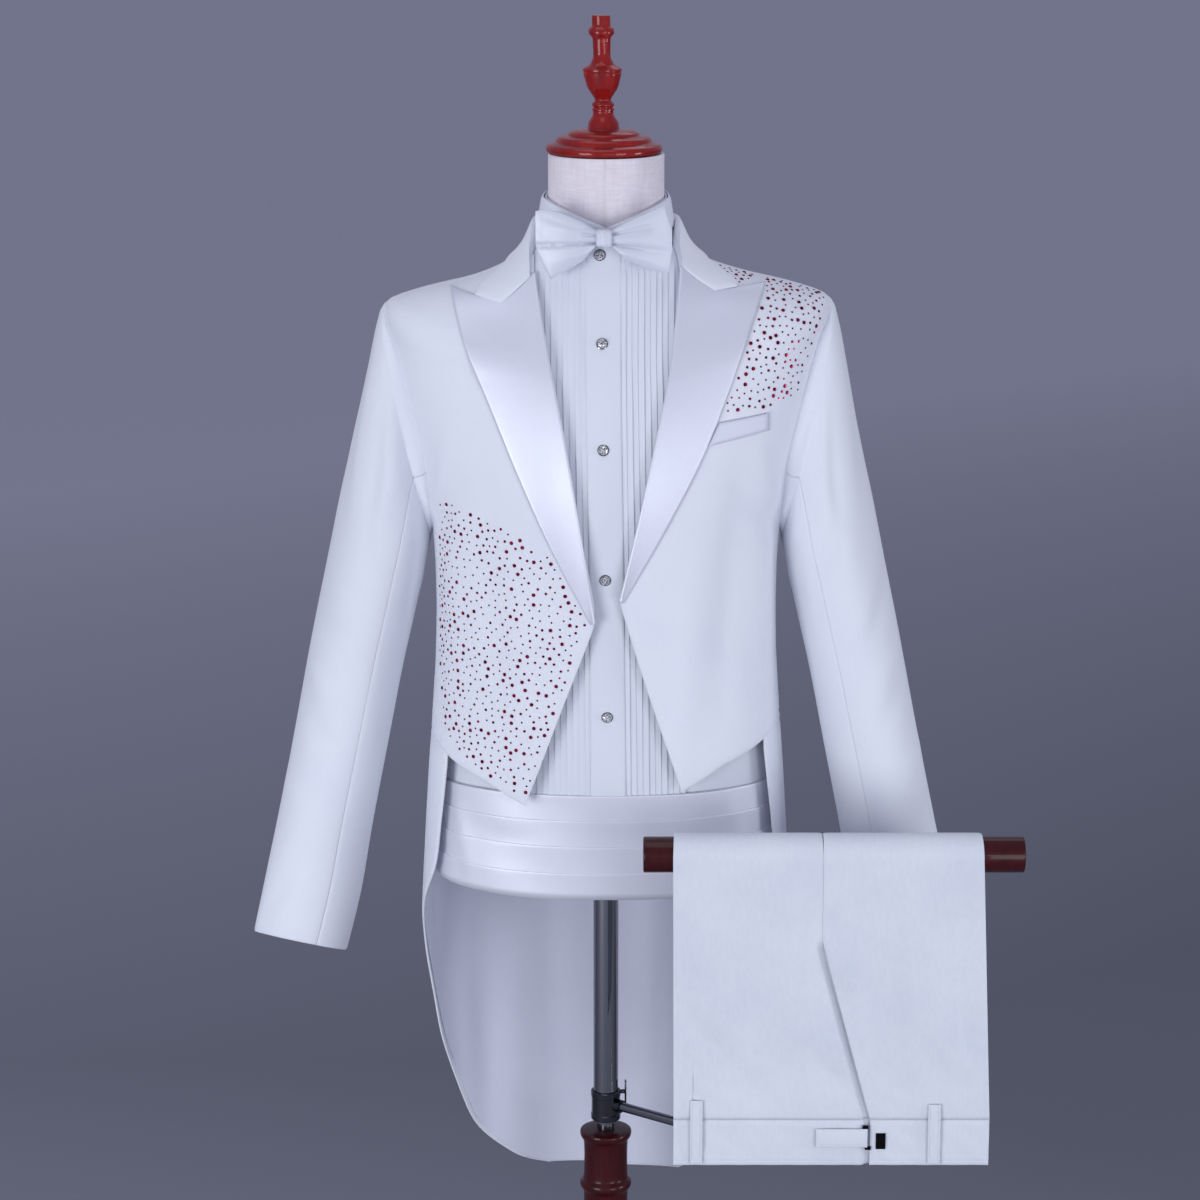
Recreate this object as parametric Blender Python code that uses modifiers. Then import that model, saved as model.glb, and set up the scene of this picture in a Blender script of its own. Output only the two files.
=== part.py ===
"""A man's white evening suit on a limbless dress form: tailcoat, pleated shirt front, bow tie and
cummerbund on the form, and the trousers folded over a bar that the form's own pole carries.

Metres, +Z up. The origin is the middle of the stand's underside, the front faces -Y, and +X is the
viewer's right. Every layer of cloth on the torso is worked out from one surface, the outside of the
coat: angle 0 is the centre front, 180 the centre back, and height is measured at the body's side.
"""

import math

import bmesh
import bpy
import numpy as np
from mathutils import Vector

MM = 0.001
RIGHT, LEFT = 1, -1  # the viewer's right and left
SEAM = 0.0004  # gap between two pieces at a seam
COAT_CLOTH = 0.002  # suiting with its canvas
SATIN_CLOTH = 0.0018
SHIRT_CLOTH = 0.0012
CORNER = 0.9  # under 1, the torso's sections are a little squarer than an ellipse

# The outside of the coat, in mm: height at the side, height of the same ring at the centre front and
# centre back, half width, depth in front of the pole's axis and depth behind it.
#        side, front,  back, width, front, back
COAT = (
    (460, 460, 460, 182, 112, 128),
    (600, 600, 600, 185, 112, 130),
    (700, 700, 700, 187, 112, 130),
    (800, 800, 800, 188, 112, 128),
    (880, 880, 880, 184, 113, 122),
    (960, 960, 960, 179, 114, 112),
    (1020, 1020, 1020, 174.5, 116, 106),
    (1080, 1080, 1080, 170.5, 119, 105),
    (1140, 1140, 1140, 169, 123, 109),
    (1205, 1205, 1205, 172.5, 127, 115),
    (1270, 1262, 1270, 187, 126, 119),
    (1340, 1318, 1336, 205, 118, 118),
    (1400, 1364, 1392, 215, 107, 110),
    (1437, 1392, 1427, 217, 97, 99),
    (1449.5, 1414, 1445, 184, 87, 89),
    (1459.5, 1432, 1460, 140, 79, 80),
    (1471, 1452, 1476, 103, 73, 74),
    (1487, 1470, 1492, 81, 69, 70),
    (1512, 1486, 1514, 69, 66, 67),
)
# How far the shirt lies inside the coat's outside: height, ease, in mm.
SHIRT_EASE = ((800, 20), (960, 20), (1060, 16), (1160, 12), (1300, 9), (1460, 8), (1500, 6))
FORM_EASE = 8 * MM  # from the shirt's outside to the form

# The armhole, an oval on the side of that surface.
ARMPIT, SHOULDER_TIP = 1.205, 1.437
ARMHOLE_FRONT, ARMHOLE_BACK = 24, 28  # half its width, in degrees round the body
SLEEVE_STEPS = 18

# The front's free edge, in mm: height, distance from the centre. The widest gap is the lapel's roll,
# and under the closing point the edge is cut away to the front's tip.
FRONT_EDGE = (
    (962, 74.6), (1059, 42.8), (1156, 13.5), (1241, 32.5), (1316, 48.6),
    (1379, 62), (1426, 67.9), (1472, 73.1), (1500, 72),
)
FRONT_EDGE_LEFT = (
    (948, 79.6), (1043.8, 44.8), (1133.2, 11.6), (1162.3, 12.5), (1243.3, 28.6), (1322, 41.9),
    (1359.9, 49.5), (1387.3, 55.2), (1416.8, 61.1), (1462.8, 69.1), (1472, 70.5), (1500, 71.5),
)
# The front's lower edge: height in mm, angle round the body.
FRONT_HEM = ((962, 22.2), (986, 39.2), (1005.6, 65.2), (1030, 95))
FRONT_HEM_LEFT = ((948, 23.9), (969.5, 42), (987.2, 64.8), (1011.2, 94.7))
SIDE_SEAM = 95
# The tail's free edge, from the waist down to the hem: height in mm, angle.
TAIL_EDGE = (
    (470, 168.5), (478, 162), (490, 153), (520, 141), (547, 131.8), (601, 121.7), (652, 112.7),
    (702, 106.7), (752, 99), (815, 88), (877, 69), (935, 64.7), (985, 62.5), (1005.2, 65.5),
    (1029.6, 95.3),
)
# The viewer's left front hangs lower: height, drop, in mm.
LEFT_DROP = ((500, 0), (950, 18), (1160, 20), (1205, 16), (1450, 7))

# Rings of the sleeve, in mm: x and z of the outer point, x and z of the inner one, y of the middle,
# half depth, and how much lower the back of the ring is than the front.
SLEEVE = (
    (224, 1428, 173.6, 1200, 0, 56, 0),
    (230, 1404, 174.5, 1194, 0, 61, 0),
    (237, 1368, 176, 1186, 0, 65, 0),
    (245, 1325, 178.5, 1174, 1, 67, 0),
    (254, 1281, 182, 1156, 2, 67, 0),
    (264, 1236, 187, 1136, 3, 66, 0),
    (277, 1172, 194.5, 1104, 3, 64, 2),
    (294, 1092, 205.5, 1056, 0, 61, 6),
    (311, 1008, 219, 988, -8, 57, 12),
    (328, 925, 235.4, 905, -22, 53, 18),
    (342, 859, 247, 839, -38, 48, 24),
    (354.3, 800.4, 261.8, 779.7, -52, 43, 28),
)
SLEEVE_SEAM = 108  # the under sleeve starts this far round from the sleeve's outer line

# The peaked lapel, in mm: x and z on the roll line, x and z on its outer edge, bottom to top.
LAPEL = (
    (14.2, 1160, 20, 1157),
    (32.9, 1241, 60, 1236),
    (48.9, 1316, 92, 1298),
    (62.2, 1379, 117, 1360),
    (68.1, 1426, 136, 1412),
    (73.4, 1470, 154.3, 1454.9),
)
LAPEL_LEFT = (
    (12.4, 1138, 18, 1135.2),
    (28.3, 1240, 56, 1217),
    (41.6, 1318, 86, 1283.8),
    (54.1, 1380, 112, 1345.8),
    (62.9, 1425, 137, 1403),
    (70.3, 1464, 153.6, 1456.2),
)
LAPEL_NOTCH, LAPEL_NOTCH_LEFT = (103.9, 1446.4), (102.2, 1440.6)
# The collar from the gorge round to the centre back: angle and height of its crease, then of its
# outer edge.
COLLAR = (
    (54, 1.4815, 48.2, 1.4612),
    (56, 1.4845, 60.0, 1.4591),
    (66, 1.4970, 68, 1.4618),
    (78, 1.5085, 77, 1.4675),
    (90, 1.5115, 89, 1.4735),
    (103, 1.5120, 102, 1.4730),
    (116, 1.5120, 116, 1.4720),
    (129, 1.5120, 129, 1.4705),
    (142, 1.5120, 142, 1.4690),
    (155, 1.5120, 155, 1.4680),
    (168, 1.5120, 168, 1.4675),
    (180, 1.5120, 180, 1.4675),
)
COLLAR_END_LEFT = ((54, 1.4745, 41.6, 1.4588), (56, 1.4790, 58.5, 1.4583))
# The breast pocket's welt, x and z in mm: lower inner, lower outer, upper outer, upper inner corner.
WELT = ((97, 1309), (156, 1319.5), (156, 1337), (108, 1331))

# The shirt front.
PLACKET_HALF = 16 * MM
PLEAT_PITCH, PLEATS, PLEAT_RISE = 5.7 * MM, 10, 1.2 * MM
# Heights of the shirt's rows; the pleated front starts at the second one.
SHIRT_ROWS = (
    0.87, 0.958, 1.04, 1.12, 1.195, 1.22, 1.26, 1.32, 1.38, 1.43, 1.46, 1.48, 1.496,
)
STUDS = ((1486, -5.9), (1404, -4), (1306, -2.8), (1179, -1), (1038, 1))  # z, x in mm
STUD_RADIUS, STUD_DEPTH = 5.6 * MM, 3.2 * MM
NECK_RADIUS, NECK_TOP = 56.5 * MM, 1.5766
STAND_RADIUS = 59.0 * MM

# The cummerbund's pleats, by the height of each fold's edge.
CUMMERBUND = (0.8472, 0.8746, 0.9026, 0.9294, 0.9553)
CUMMERBUND_OUT = -17.2 * MM  # its plain outside, from the coat's outside
CUMMERBUND_PLEAT = 1.7 * MM
CUMMERBUND_HALF_ANGLE = 100

# The bow tie's wings, in mm: distance from the knot, lower and upper z, half thickness.
BOW_LEFT = (
    (9, 1498, 1512, 5.5), (20, 1482.5, 1517, 7), (36, 1473, 1522, 8), (50.6, 1465.3, 1526.5, 8),
    (58, 1479, 1528.5, 7), (65, 1495, 1530, 4.5),
)
BOW_RIGHT = (
    (9, 1498, 1512, 5.5), (20, 1484.5, 1518.7, 7), (38, 1476, 1527, 8), (57.8, 1471, 1535, 7.5),
    (62, 1472, 1522, 6.5), (65, 1488, 1512, 4.5),
)
BOW_KNOT = (-2.4 * MM, 1.505)  # x, z
BOW_DEPTH = -79 * MM

# The stand, in mm: radius and height, from the top down.
FINIAL = (
    (8.6, 1708.5), (9, 1698), (12.2, 1694.5), (12.2, 1689.5), (9, 1684.5), (8.2, 1669),
    (12, 1661.2), (18.6, 1656.7), (18.6, 1652.7), (17.6, 1650.5), (15, 1640), (8, 1629), (8, 1626),
    (11, 1621), (9.6, 1617.4), (10.6, 1611.2), (14.5, 1606.2), (15, 1598.7), (29, 1597.7),
    (34, 1594.3), (44, 1592.8), (45.5, 1589.3), (57, 1585.4), (58.5, 1581.4), (56, 1577.6),
)
FINIAL_LEAN = (-2 * MM, -0.023)  # at its foot, and for each metre up
COLUMN = (
    (0, 565.5), (25.5, 565), (27, 562), (26, 557), (22.4, 554), (22.4, 514), (26.6, 508), (26.6, 502),
    (22.6, 496), (22.6, 420), (27, 300), (31, 190), (24, 90), (27, 70), (27, 60), (44, 34), (0, 33.7),
)
BASE = ((0, 33.3), (60, 33), (70, 27), (168, 21), (188, 14), (190, 5), (188, 0), (0, 0))
FORM_FOOT = 0.862
POLE = ((0, 861.6), (12.8, 861.2), (12.8, 574.6), (9, 574), (9, 565.9), (0, 565.8))
CLAMP = (13.2 * MM, 15.4 * MM, 0.5765, 0.608)  # inner and outer radius, lower and upper z

# The trouser bar and the trousers on it.
BAR_RADIUS, BAR_Y, BAR_Z = 17.3 * MM, -0.19, 0.9262
BAR_ENDS = (0.0354, 0.4009)
ARM = (
    (18, -14, 594), (60, -47, 594), (110, -88, 595), (160, -135, 597), (196, -168, 600),
    (212, -185, 610), (216, -190, 632), (216, -190, 780), (216, -190, 907),
)
LEG_CLOTH = 3.0 * MM  # the front and back of a leg, lying on each other
LEG_GAP = 0.6 * MM
WAIST_SEAM, WAIST_EDGE = 0.6616, 0.6146
CROTCH = (0.2073, 0.8466)  # x, z
FLY_FOOT = 0.2568
TROUSER_SIDES = (0.0638, 0.3609, 0.0654, 0.3729)  # left and right x at the bar, then at the waist
HEM_SIDES = (0.085, 0.197, 0.218, 0.340)  # the two legs' x at the hem, behind the bar
WAISTBAND_CLOTH = 3.4 * MM
#              name, left, right, low, high, in mm
BELT_LOOPS = (
    ("belt_loop_left", 81.6, 93.6, 617, 683),
    ("belt_loop_right", 313, 325, 617, 679),
)
TAB = (204, 50.2, 634.6, 19)  # left and width, foot and height, in mm
HOOK = (262.5, 9.5, 632, 16.5)


def material(name, colour, roughness, metallic=0.0):
    made = bpy.data.materials.new(name)
    made.use_nodes = True
    shader = made.node_tree.nodes["Principled BSDF"]
    shader.inputs["Base Color"].default_value = (*colour, 1)
    shader.inputs["Roughness"].default_value = roughness
    shader.inputs["Metallic"].default_value = metallic
    return made


# ---------------------------------------------------------------- the coat's surface


COAT_TABLE = np.array(COAT) * MM


def smooth_row(table, x):
    """The row of a table at x in its first column, on a smooth curve through the rows."""
    xs = table[:, 0]
    x = min(max(x, xs[0]), xs[-1])
    i = min(max(int(np.searchsorted(xs, x)) - 1, 0), len(xs) - 2)

    def slope(j):
        low, high = max(j - 1, 0), min(j + 1, len(xs) - 1)
        return (table[high] - table[low]) / (xs[high] - xs[low])

    d = xs[i + 1] - xs[i]
    t = (x - xs[i]) / d
    return (
        (2 * t**3 - 3 * t**2 + 1) * table[i]
        + (t**3 - 2 * t**2 + t) * d * slope(i)
        + (3 * t**2 - 2 * t**3) * table[i + 1]
        + (t**3 - t**2) * d * slope(i + 1)
    )


def on_coat(angle, height):
    side, front, back, width, fore, aft = smooth_row(COAT_TABLE, height)
    s, c = math.sin(math.radians(angle)), math.cos(math.radians(angle))
    x = width * math.copysign(abs(s) ** CORNER, s)
    y = (aft if c < 0 else fore) * -math.copysign(abs(c) ** CORNER, c)
    z = side + ((back if c < 0 else front) - side) * c * c
    return np.array((x, y, z))


def outward(angle, height):
    top = COAT_TABLE[-1, 0]
    across = on_coat(angle + 0.5, height) - on_coat(angle - 0.5, height)
    up = on_coat(angle, min(height + 0.002, top)) - on_coat(angle, height - 0.002)
    normal = np.cross(across, up)
    return normal / np.linalg.norm(normal)


def layer(angle, height, out=0.0):
    """A point this far outside the coat's surface, or inside it where out is negative."""
    return on_coat(angle, height) + outward(angle, height) * out


def find(x, z):
    """The angle and height on the front half of the coat's surface of a point seen from the front."""
    low, high = COAT_TABLE[0, 0], COAT_TABLE[-1, 0]
    for _ in range(40):
        height = (low + high) / 2
        width = smooth_row(COAT_TABLE, height)[3]
        angle = math.degrees(math.asin(min(1, (abs(x) / width)) ** (1 / CORNER)))
        if on_coat(angle, height)[2] < z:
            low = height
        else:
            high = height
    return math.copysign(angle, x), height


def on_front(x, z, out):
    """The point at x and z, as seen from the front, on the layer that lies out(height) outside."""
    want = np.array((x, 0, z))
    angle, height = find(x, z)
    for _ in range(4):
        lift = outward(angle, height) * out(height)
        angle, height = find(want[0] - lift[0], want[2] - lift[2])
    return layer(angle, height, out(height))


def shirt_ease(height):
    return -np.interp(height / MM, *zip(*SHIRT_EASE)) * MM


def table_at(table, z, side, drop=LEFT_DROP):
    """The second column at height z. On the left, the table hangs lower."""
    heights, values = (np.array(column) for column in zip(*table))
    if side == LEFT:
        heights = heights - np.interp(heights, *zip(*drop))
    return float(np.interp(z / MM, heights, values))


def drooped(heights, side):
    """Row heights, in metres, moved down as the left side's edges are."""
    if side == RIGHT:
        return list(heights)
    return [h - float(np.interp(h / MM, *zip(*LEFT_DROP))) * MM for h in heights]


# ---------------------------------------------------------------- making meshes


def grid_faces(rows, columns, round_=False):
    faces = []
    for r in range(rows - 1):
        for c in range(columns if round_ else columns - 1):
            d = (c + 1) % columns
            faces.append((r * columns + c, r * columns + d, (r + 1) * columns + d, (r + 1) * columns + c))
    return faces


def settled(point):
    """The viewer's left shoulder sits a little lower and narrower than the right one."""
    x, y, z = map(float, point)
    side = min(1, max(0, (-x - 0.06) / 0.08))
    up = min(1, max(0, (z - 1.28) / 0.12))
    share = side * side * (3 - 2 * side) * up * up * (3 - 2 * up)
    return x + 2.5 * MM * share, y, z - 5.5 * MM * share


def add_mesh(name, points, faces, finish):
    mesh = bpy.data.meshes.new(name)
    mesh.from_pydata([settled(point) for point in points], [], faces)
    mesh.materials.append(finish)
    for face in mesh.polygons:
        face.use_smooth = True
    made = bpy.data.objects.new(name, mesh)
    SUIT.objects.link(made)
    return made


def cloth(name, rows, thickness, finish, round_=False):
    """An open sheet of rows of points, seen from outside with the first row lowest and the columns
    running to the right, thickened inwards."""
    rows = [list(row) for row in rows]
    columns = len(rows[0])
    points = [p for row in rows for p in row]
    made = add_mesh(name, points, grid_faces(len(rows), columns, round_), finish)
    wall = made.modifiers.new("wall", "SOLIDIFY")
    wall.thickness = thickness
    wall.offset = -1
    return made


def mirrored(rows):
    """The rows of the right piece, as the left piece's: x turned over and columns reversed."""
    return [[np.array((-p[0], p[1], p[2])) for p in reversed(list(row))] for row in rows]


def for_side(rows, side):
    return rows if side == RIGHT else mirrored(rows)


def wall(name, outer, inner, finish):
    """A closed sheet between an outer and an inner grid, for a ribbed outside on a plain inside."""
    rows, columns = len(outer), len(outer[0])
    n = rows * columns
    points = [p for row in outer for p in row] + [p for row in inner for p in row]
    front = grid_faces(rows, columns)
    faces = front + [tuple(n + i for i in reversed(face)) for face in front]
    rim = (
        [(0, c) for c in range(columns)]
        + [(r, columns - 1) for r in range(1, rows)]
        + [(rows - 1, c) for c in range(columns - 2, -1, -1)]
        + [(r, 0) for r in range(rows - 2, 0, -1)]
    )
    loop = [r * columns + c for r, c in rim]
    for a, b in zip(loop, loop[1:] + loop[:1]):
        faces.append((b, a, n + a, n + b))
    return add_mesh(name, points, faces, finish)


def lofted(name, rings, finish):
    """A closed solid through rings of points, the first ring lowest, with flat ends."""
    columns = len(rings[0])
    points = [p for ring in rings for p in ring]
    last = (len(rings) - 1) * columns
    faces = grid_faces(len(rings), columns, round_=True)
    faces += [tuple(range(columns - 1, -1, -1)), tuple(range(last, last + columns))]
    return add_mesh(name, points, faces, finish)


def turned(name, profile, steps, finish):
    """A solid turned about Z from a profile of radius and height in mm, top to bottom."""
    closed = profile[0] == profile[-1]
    points = [(r * MM, 0, z * MM) for r, z in (profile[:-1] if closed else profile)]
    made = add_mesh(name, points, [], finish)
    pairs = [(i, i + 1) for i in range(len(points) - 1)]
    if closed:
        pairs.append((len(points) - 1, 0))
    made.data.edges.add(len(pairs))
    made.data.edges.foreach_set("vertices", [v for pair in pairs for v in pair])
    screw = made.modifiers.new("turn", "SCREW")
    screw.steps = screw.render_steps = steps
    screw.use_merge_vertices = True
    screw.merge_threshold = 0.00005
    screw.use_smooth_shade = True
    return made


def block(name, low, high, bevel, finish):
    bpy.ops.mesh.primitive_cube_add(size=1)
    made = bpy.context.object
    made.name = made.data.name = name
    made.scale = [b - a for a, b in zip(low, high)]
    made.location = [(a + b) / 2 for a, b in zip(low, high)]
    bpy.ops.object.transform_apply(location=False, rotation=False, scale=True)
    edge = made.modifiers.new("edge", "BEVEL")
    edge.width = bevel
    edge.segments = 1
    made.data.materials.append(finish)
    keep(made)
    return made


def keep(made):
    for collection in made.users_collection:
        collection.objects.unlink(made)
    SUIT.objects.link(made)


# ---------------------------------------------------------------- the tailcoat


def armhole_turn(height):
    """How far round the armhole a height is: 0 at the shoulder, 180 under the arm."""
    middle, half = (SHOULDER_TIP + ARMPIT) / 2, (SHOULDER_TIP - ARMPIT) / 2
    return math.degrees(math.acos(min(1, max(-1, (height - middle) / half))))


def armhole_heights():
    """Rows of the body beside the armhole, level with the sleeve's own columns."""
    half_turn = SLEEVE_STEPS // 2
    middle, half = (SHOULDER_TIP + ARMPIT) / 2, (SHOULDER_TIP - ARMPIT) / 2
    return [middle - half * math.cos(math.pi * i / half_turn) for i in range(half_turn + 1)]


WAIST = 1.01  # the back is a tail below this
SIDE_ROWS = (1030, 1060, 1100, 1145, 1180)  # beside the side seam, in mm
SHOULDER_ROWS = (1.4433, 1.4515, 1.4595, 1.467, 1.476, 1.488)


def edge_angle(height, side):
    """The angle of the front's free edge on the ring at a height."""
    low, high = 0.0, 90.0
    for _ in range(40):
        angle = (low + high) / 2
        x, _, z = on_coat(angle, height)
        if x < table_at(FRONT_EDGE if side == RIGHT else FRONT_EDGE_LEFT, z, RIGHT) * MM:
            low = angle
        else:
            high = angle
    return angle


def side_seam(height):
    return float(np.interp(height, (1.16, ARMPIT), (SIDE_SEAM, 90)))


def front_end(height, side):
    """The angle at which a front stops: along its lower edge, the side seam, the armhole and the
    shoulder seam."""
    if height >= SHOULDER_TIP:
        return 89.85
    if height >= ARMPIT:
        return 90 - ARMHOLE_FRONT * math.sin(math.radians(armhole_turn(height)))
    hem = FRONT_HEM if side == RIGHT else FRONT_HEM_LEFT
    return min(table_at(hem, height, RIGHT), side_seam(height))


def back_start(height, side):
    if height >= SHOULDER_TIP:
        return 90.15
    if height >= ARMPIT:
        return 90.3 + ARMHOLE_BACK * math.sin(math.radians(armhole_turn(height)))
    return table_at(TAIL_EDGE, height, side) if height < WAIST else side_seam(height) + 0.3


def coat_front(side):
    hem = (962.4, 970, 986, 1005.6, 1018) if side == RIGHT else (948.4, 956, 969.5, 987.2, 999)
    low = [h * MM for h in hem] + drooped([h * MM for h in SIDE_ROWS], side)
    rows = []
    for height in low + armhole_heights() + list(SHOULDER_ROWS):
        start = edge_angle(height, side)
        end = max(front_end(height, side), start + 1.2)
        rows.append([layer(start + (end - start) * i / 8, height) for i in range(9)])
    name = "coat_front_right" if side == RIGHT else "coat_front_left"
    return cloth(name, for_side(rows, side), COAT_CLOTH, SUITING)


def coat_back(side):
    tail = (470, 478, 490, 520, 547, 601, 652, 702, 752, 815, 877, 935, 985, 1005.2)
    low = [h * MM for h in tail + SIDE_ROWS]
    rows = []
    for height in drooped(low, side) + armhole_heights() + list(SHOULDER_ROWS):
        width = smooth_row(COAT_TABLE, height)[3]
        start = back_start(height, side)
        end = 180 - math.degrees(math.asin((SEAM / 2 / width) ** (1 / CORNER)))
        rows.append([layer(start + (end - start) * i / 7, height) for i in range(8)])
    name = "coat_back_right" if side == RIGHT else "coat_back_left"
    return cloth(name, for_side(rows, side), COAT_CLOTH, SUITING)


def armhole_point(turn):
    """On the armhole's loop: turn 0 at the shoulder, 90 at the back, 180 under the arm."""
    height = (SHOULDER_TIP + ARMPIT) / 2 + (SHOULDER_TIP - ARMPIT) / 2 * math.cos(math.radians(turn))
    s = math.sin(math.radians(turn))
    angle = 90 + (ARMHOLE_BACK if s > 0 else ARMHOLE_FRONT) * s
    point = on_coat(angle, height)
    centre = np.array((point[0], 0, (SHOULDER_TIP + ARMPIT) / 2))
    inwards = (centre - point) / max(np.linalg.norm(centre - point), MM)
    return point + inwards * 0.6 * MM + np.array((1.7 * MM, 0, 0))


def sleeve_point(row, turn):
    ox, oz, ix, iz, y, depth, drop = (value * MM for value in row)
    c, s = math.cos(math.radians(turn)), math.sin(math.radians(turn))
    x = (ox + ix) / 2 + (ox - ix) / 2 * c
    z = (oz + iz) / 2 + (oz - iz) / 2 * c - drop / 2 * s
    return np.array((x, y + depth * s, z))


def sleeve_piece(name, side, start, end, steps):
    turns = [start + (end - start) * i / steps for i in range(steps + 1)]
    rows = [[sleeve_point(row, turn) for turn in turns] for row in reversed(SLEEVE)]
    rows.append([armhole_point(turn) for turn in turns])
    return cloth(name, for_side(rows, side), COAT_CLOTH, SUITING)


def sleeves(side):
    word = "right" if side == RIGHT else "left"
    gap = 0.6
    sleeve_piece(f"sleeve_top_{word}", side, -SLEEVE_SEAM + gap, SLEEVE_SEAM - gap, 11)
    sleeve_piece(f"sleeve_under_{word}", side, SLEEVE_SEAM + gap, 360 - SLEEVE_SEAM - gap, 7)


def lapel(side):
    """A peaked lapel, rolled over at the fold and lying on the front."""
    across = 6
    table = np.array(LAPEL if side == RIGHT else LAPEL_LEFT, float)
    notch = np.array(LAPEL_NOTCH if side == RIGHT else LAPEL_NOTCH_LEFT)
    count = 12
    rows = []
    for i in range(count):
        t = i / (count - 1)
        knots = np.arange(len(table)) / (len(table) - 1)
        rx, rz, ox, oz = (np.interp(t, knots, table[:, c]) for c in range(4))
        row = []
        for j in range(-1, across + 1):
            s = max(0, j) / across
            flat = np.array((rx, rz)) * (1 - s) + np.array((ox, oz)) * s
            top = np.array(
                [np.interp(s, (0, 0.4, 1), (table[-1, k], notch[k], table[-1, k + 2])) for k in (0, 1)]
            )
            level = table[-1, 0:2] * (1 - s) + table[-1, 2:4] * s
            x, z = (flat + (top - level) * t**5) * MM
            lift = (3.4 + 1.0 * (1 - s) ** 2 + 1.5 * t**3) * MM
            if j < 1:
                x, lift = (x - 1.4 * MM, 3.6 * MM) if j == 0 else (x - 2.8 * MM, 1.2 * MM)
            row.append(on_front(x, z, lambda _, lift=lift: lift))
        rows.append(row)
    name = "lapel_right" if side == RIGHT else "lapel_left"
    return cloth(name, for_side(rows, side), SATIN_CLOTH, SATIN)


def collar():
    """The collar's fall, from the crease round the neck to its outer edge."""
    halves = {}
    for side in (RIGHT, LEFT):
        columns = []
        for crease, top, edge, low in COLLAR if side == RIGHT else COLLAR_END_LEFT + COLLAR[2:]:
            column = []
            for t in (0, 0.34, 0.7, 1):
                angle = edge + (crease - edge) * t
                height = low + (top - low) * t
                column.append(layer(angle, height, (3.9 + 1.2 * math.sin(math.pi * t)) * MM))
            column.append(layer(crease, top, 0.8 * MM) + np.array((0, 0, 0.8 * MM)))
            columns.append(column)
        halves[side] = columns
    left = [[np.array((-p[0], p[1], p[2])) for p in column] for column in halves[LEFT]]
    around = list(halves[RIGHT]) + list(reversed(left))[1:]
    rows = [[column[i] for column in around] for i in range(5)]
    return cloth("coat_collar", rows, SATIN_CLOTH, SATIN)


def breast_pocket():
    rows = []
    for v in (0, 1):
        row = []
        for u in (0, 0.33, 0.67, 1):
            low = np.array(WELT[0]) * (1 - u) + np.array(WELT[1]) * u
            high = np.array(WELT[3]) * (1 - u) + np.array(WELT[2]) * u
            x, z = (low * (1 - v) + high * v) * MM
            row.append(on_front(x, z, lambda _: 1.9 * MM))
        rows.append(row)
    return cloth("breast_pocket_welt", rows, 1.4 * MM, SATIN)


# ---------------------------------------------------------------- the shirt, tie and cummerbund


def shirt_body():
    def cut(height, half):
        """How far the armhole cuts into a panel, in degrees."""
        if ARMPIT < height < SHOULDER_TIP:
            return (half + 3) * math.sin(math.radians(armhole_turn(height)))
        return 0

    for side in (RIGHT, LEFT):
        rows = []
        for height in SHIRT_ROWS:
            width = smooth_row(COAT_TABLE, height)[3]
            start = math.degrees(math.asin((SEAM / 2 / width) ** (1 / CORNER)))
            end = 89.8 - cut(height, ARMHOLE_FRONT)
            rows.append([layer(start + (end - start) * i / 5, height, shirt_ease(height)) for i in range(6)])
        name = "shirt_front_right" if side == RIGHT else "shirt_front_left"
        cloth(name, for_side(rows, side), SHIRT_CLOTH, COTTON)
    rows = []
    for height in SHIRT_ROWS:
        start = 90.2 + cut(height, ARMHOLE_BACK)
        rows.append([layer(start + (360 - 2 * start) * i / 9, height, shirt_ease(height)) for i in range(10)])
    cloth("shirt_back", rows, SHIRT_CLOTH, COTTON)


def on_shirt(x, height, out):
    """A point on the shirt's front, this far outside it, by its distance from the centre."""
    width = smooth_row(COAT_TABLE, height)[3] + shirt_ease(height)
    angle = math.degrees(math.asin((abs(x) / width) ** (1 / CORNER)))
    return layer(math.copysign(angle, x), height, shirt_ease(height) + out)


def shirt_bib(side):
    """The pleated panel beside the placket: knife pleats that open away from it."""
    first = PLACKET_HALF + 0.8 * MM
    steps = []
    for k in range(PLEATS):
        steps += [(first + k * PLEAT_PITCH, 0.12), (first + (k + 0.88) * PLEAT_PITCH, 1.0)]
    steps.append((first + PLEATS * PLEAT_PITCH, 0.12))
    outer, inner = [], []
    for height in SHIRT_ROWS[1:12]:
        narrow = float(np.interp(height, (1.40, 1.48), (1, 0.85)))
        places = [(first + (x - first) * narrow, rise) for x, rise in steps]
        clear = float(np.interp(height, (1.43, 1.48), (0.5, 3.2))) * MM
        outer.append([on_shirt(x, height, clear + 0.4 * MM + rise * PLEAT_RISE) for x, rise in places])
        inner.append([on_shirt(x, height, clear) for x, _ in places])
    name = "shirt_pleats_right" if side == RIGHT else "shirt_pleats_left"
    return wall(name, for_side(outer, side), for_side(inner, side), COTTON)


def placket():
    rows = []
    for height in SHIRT_ROWS[1:]:
        rows.append([on_shirt(PLACKET_HALF * k, height, 2.3 * MM) for k in (-1, -0.33, 0.33, 1)])
    return cloth("shirt_placket", rows, 1.6 * MM, COTTON)


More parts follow.
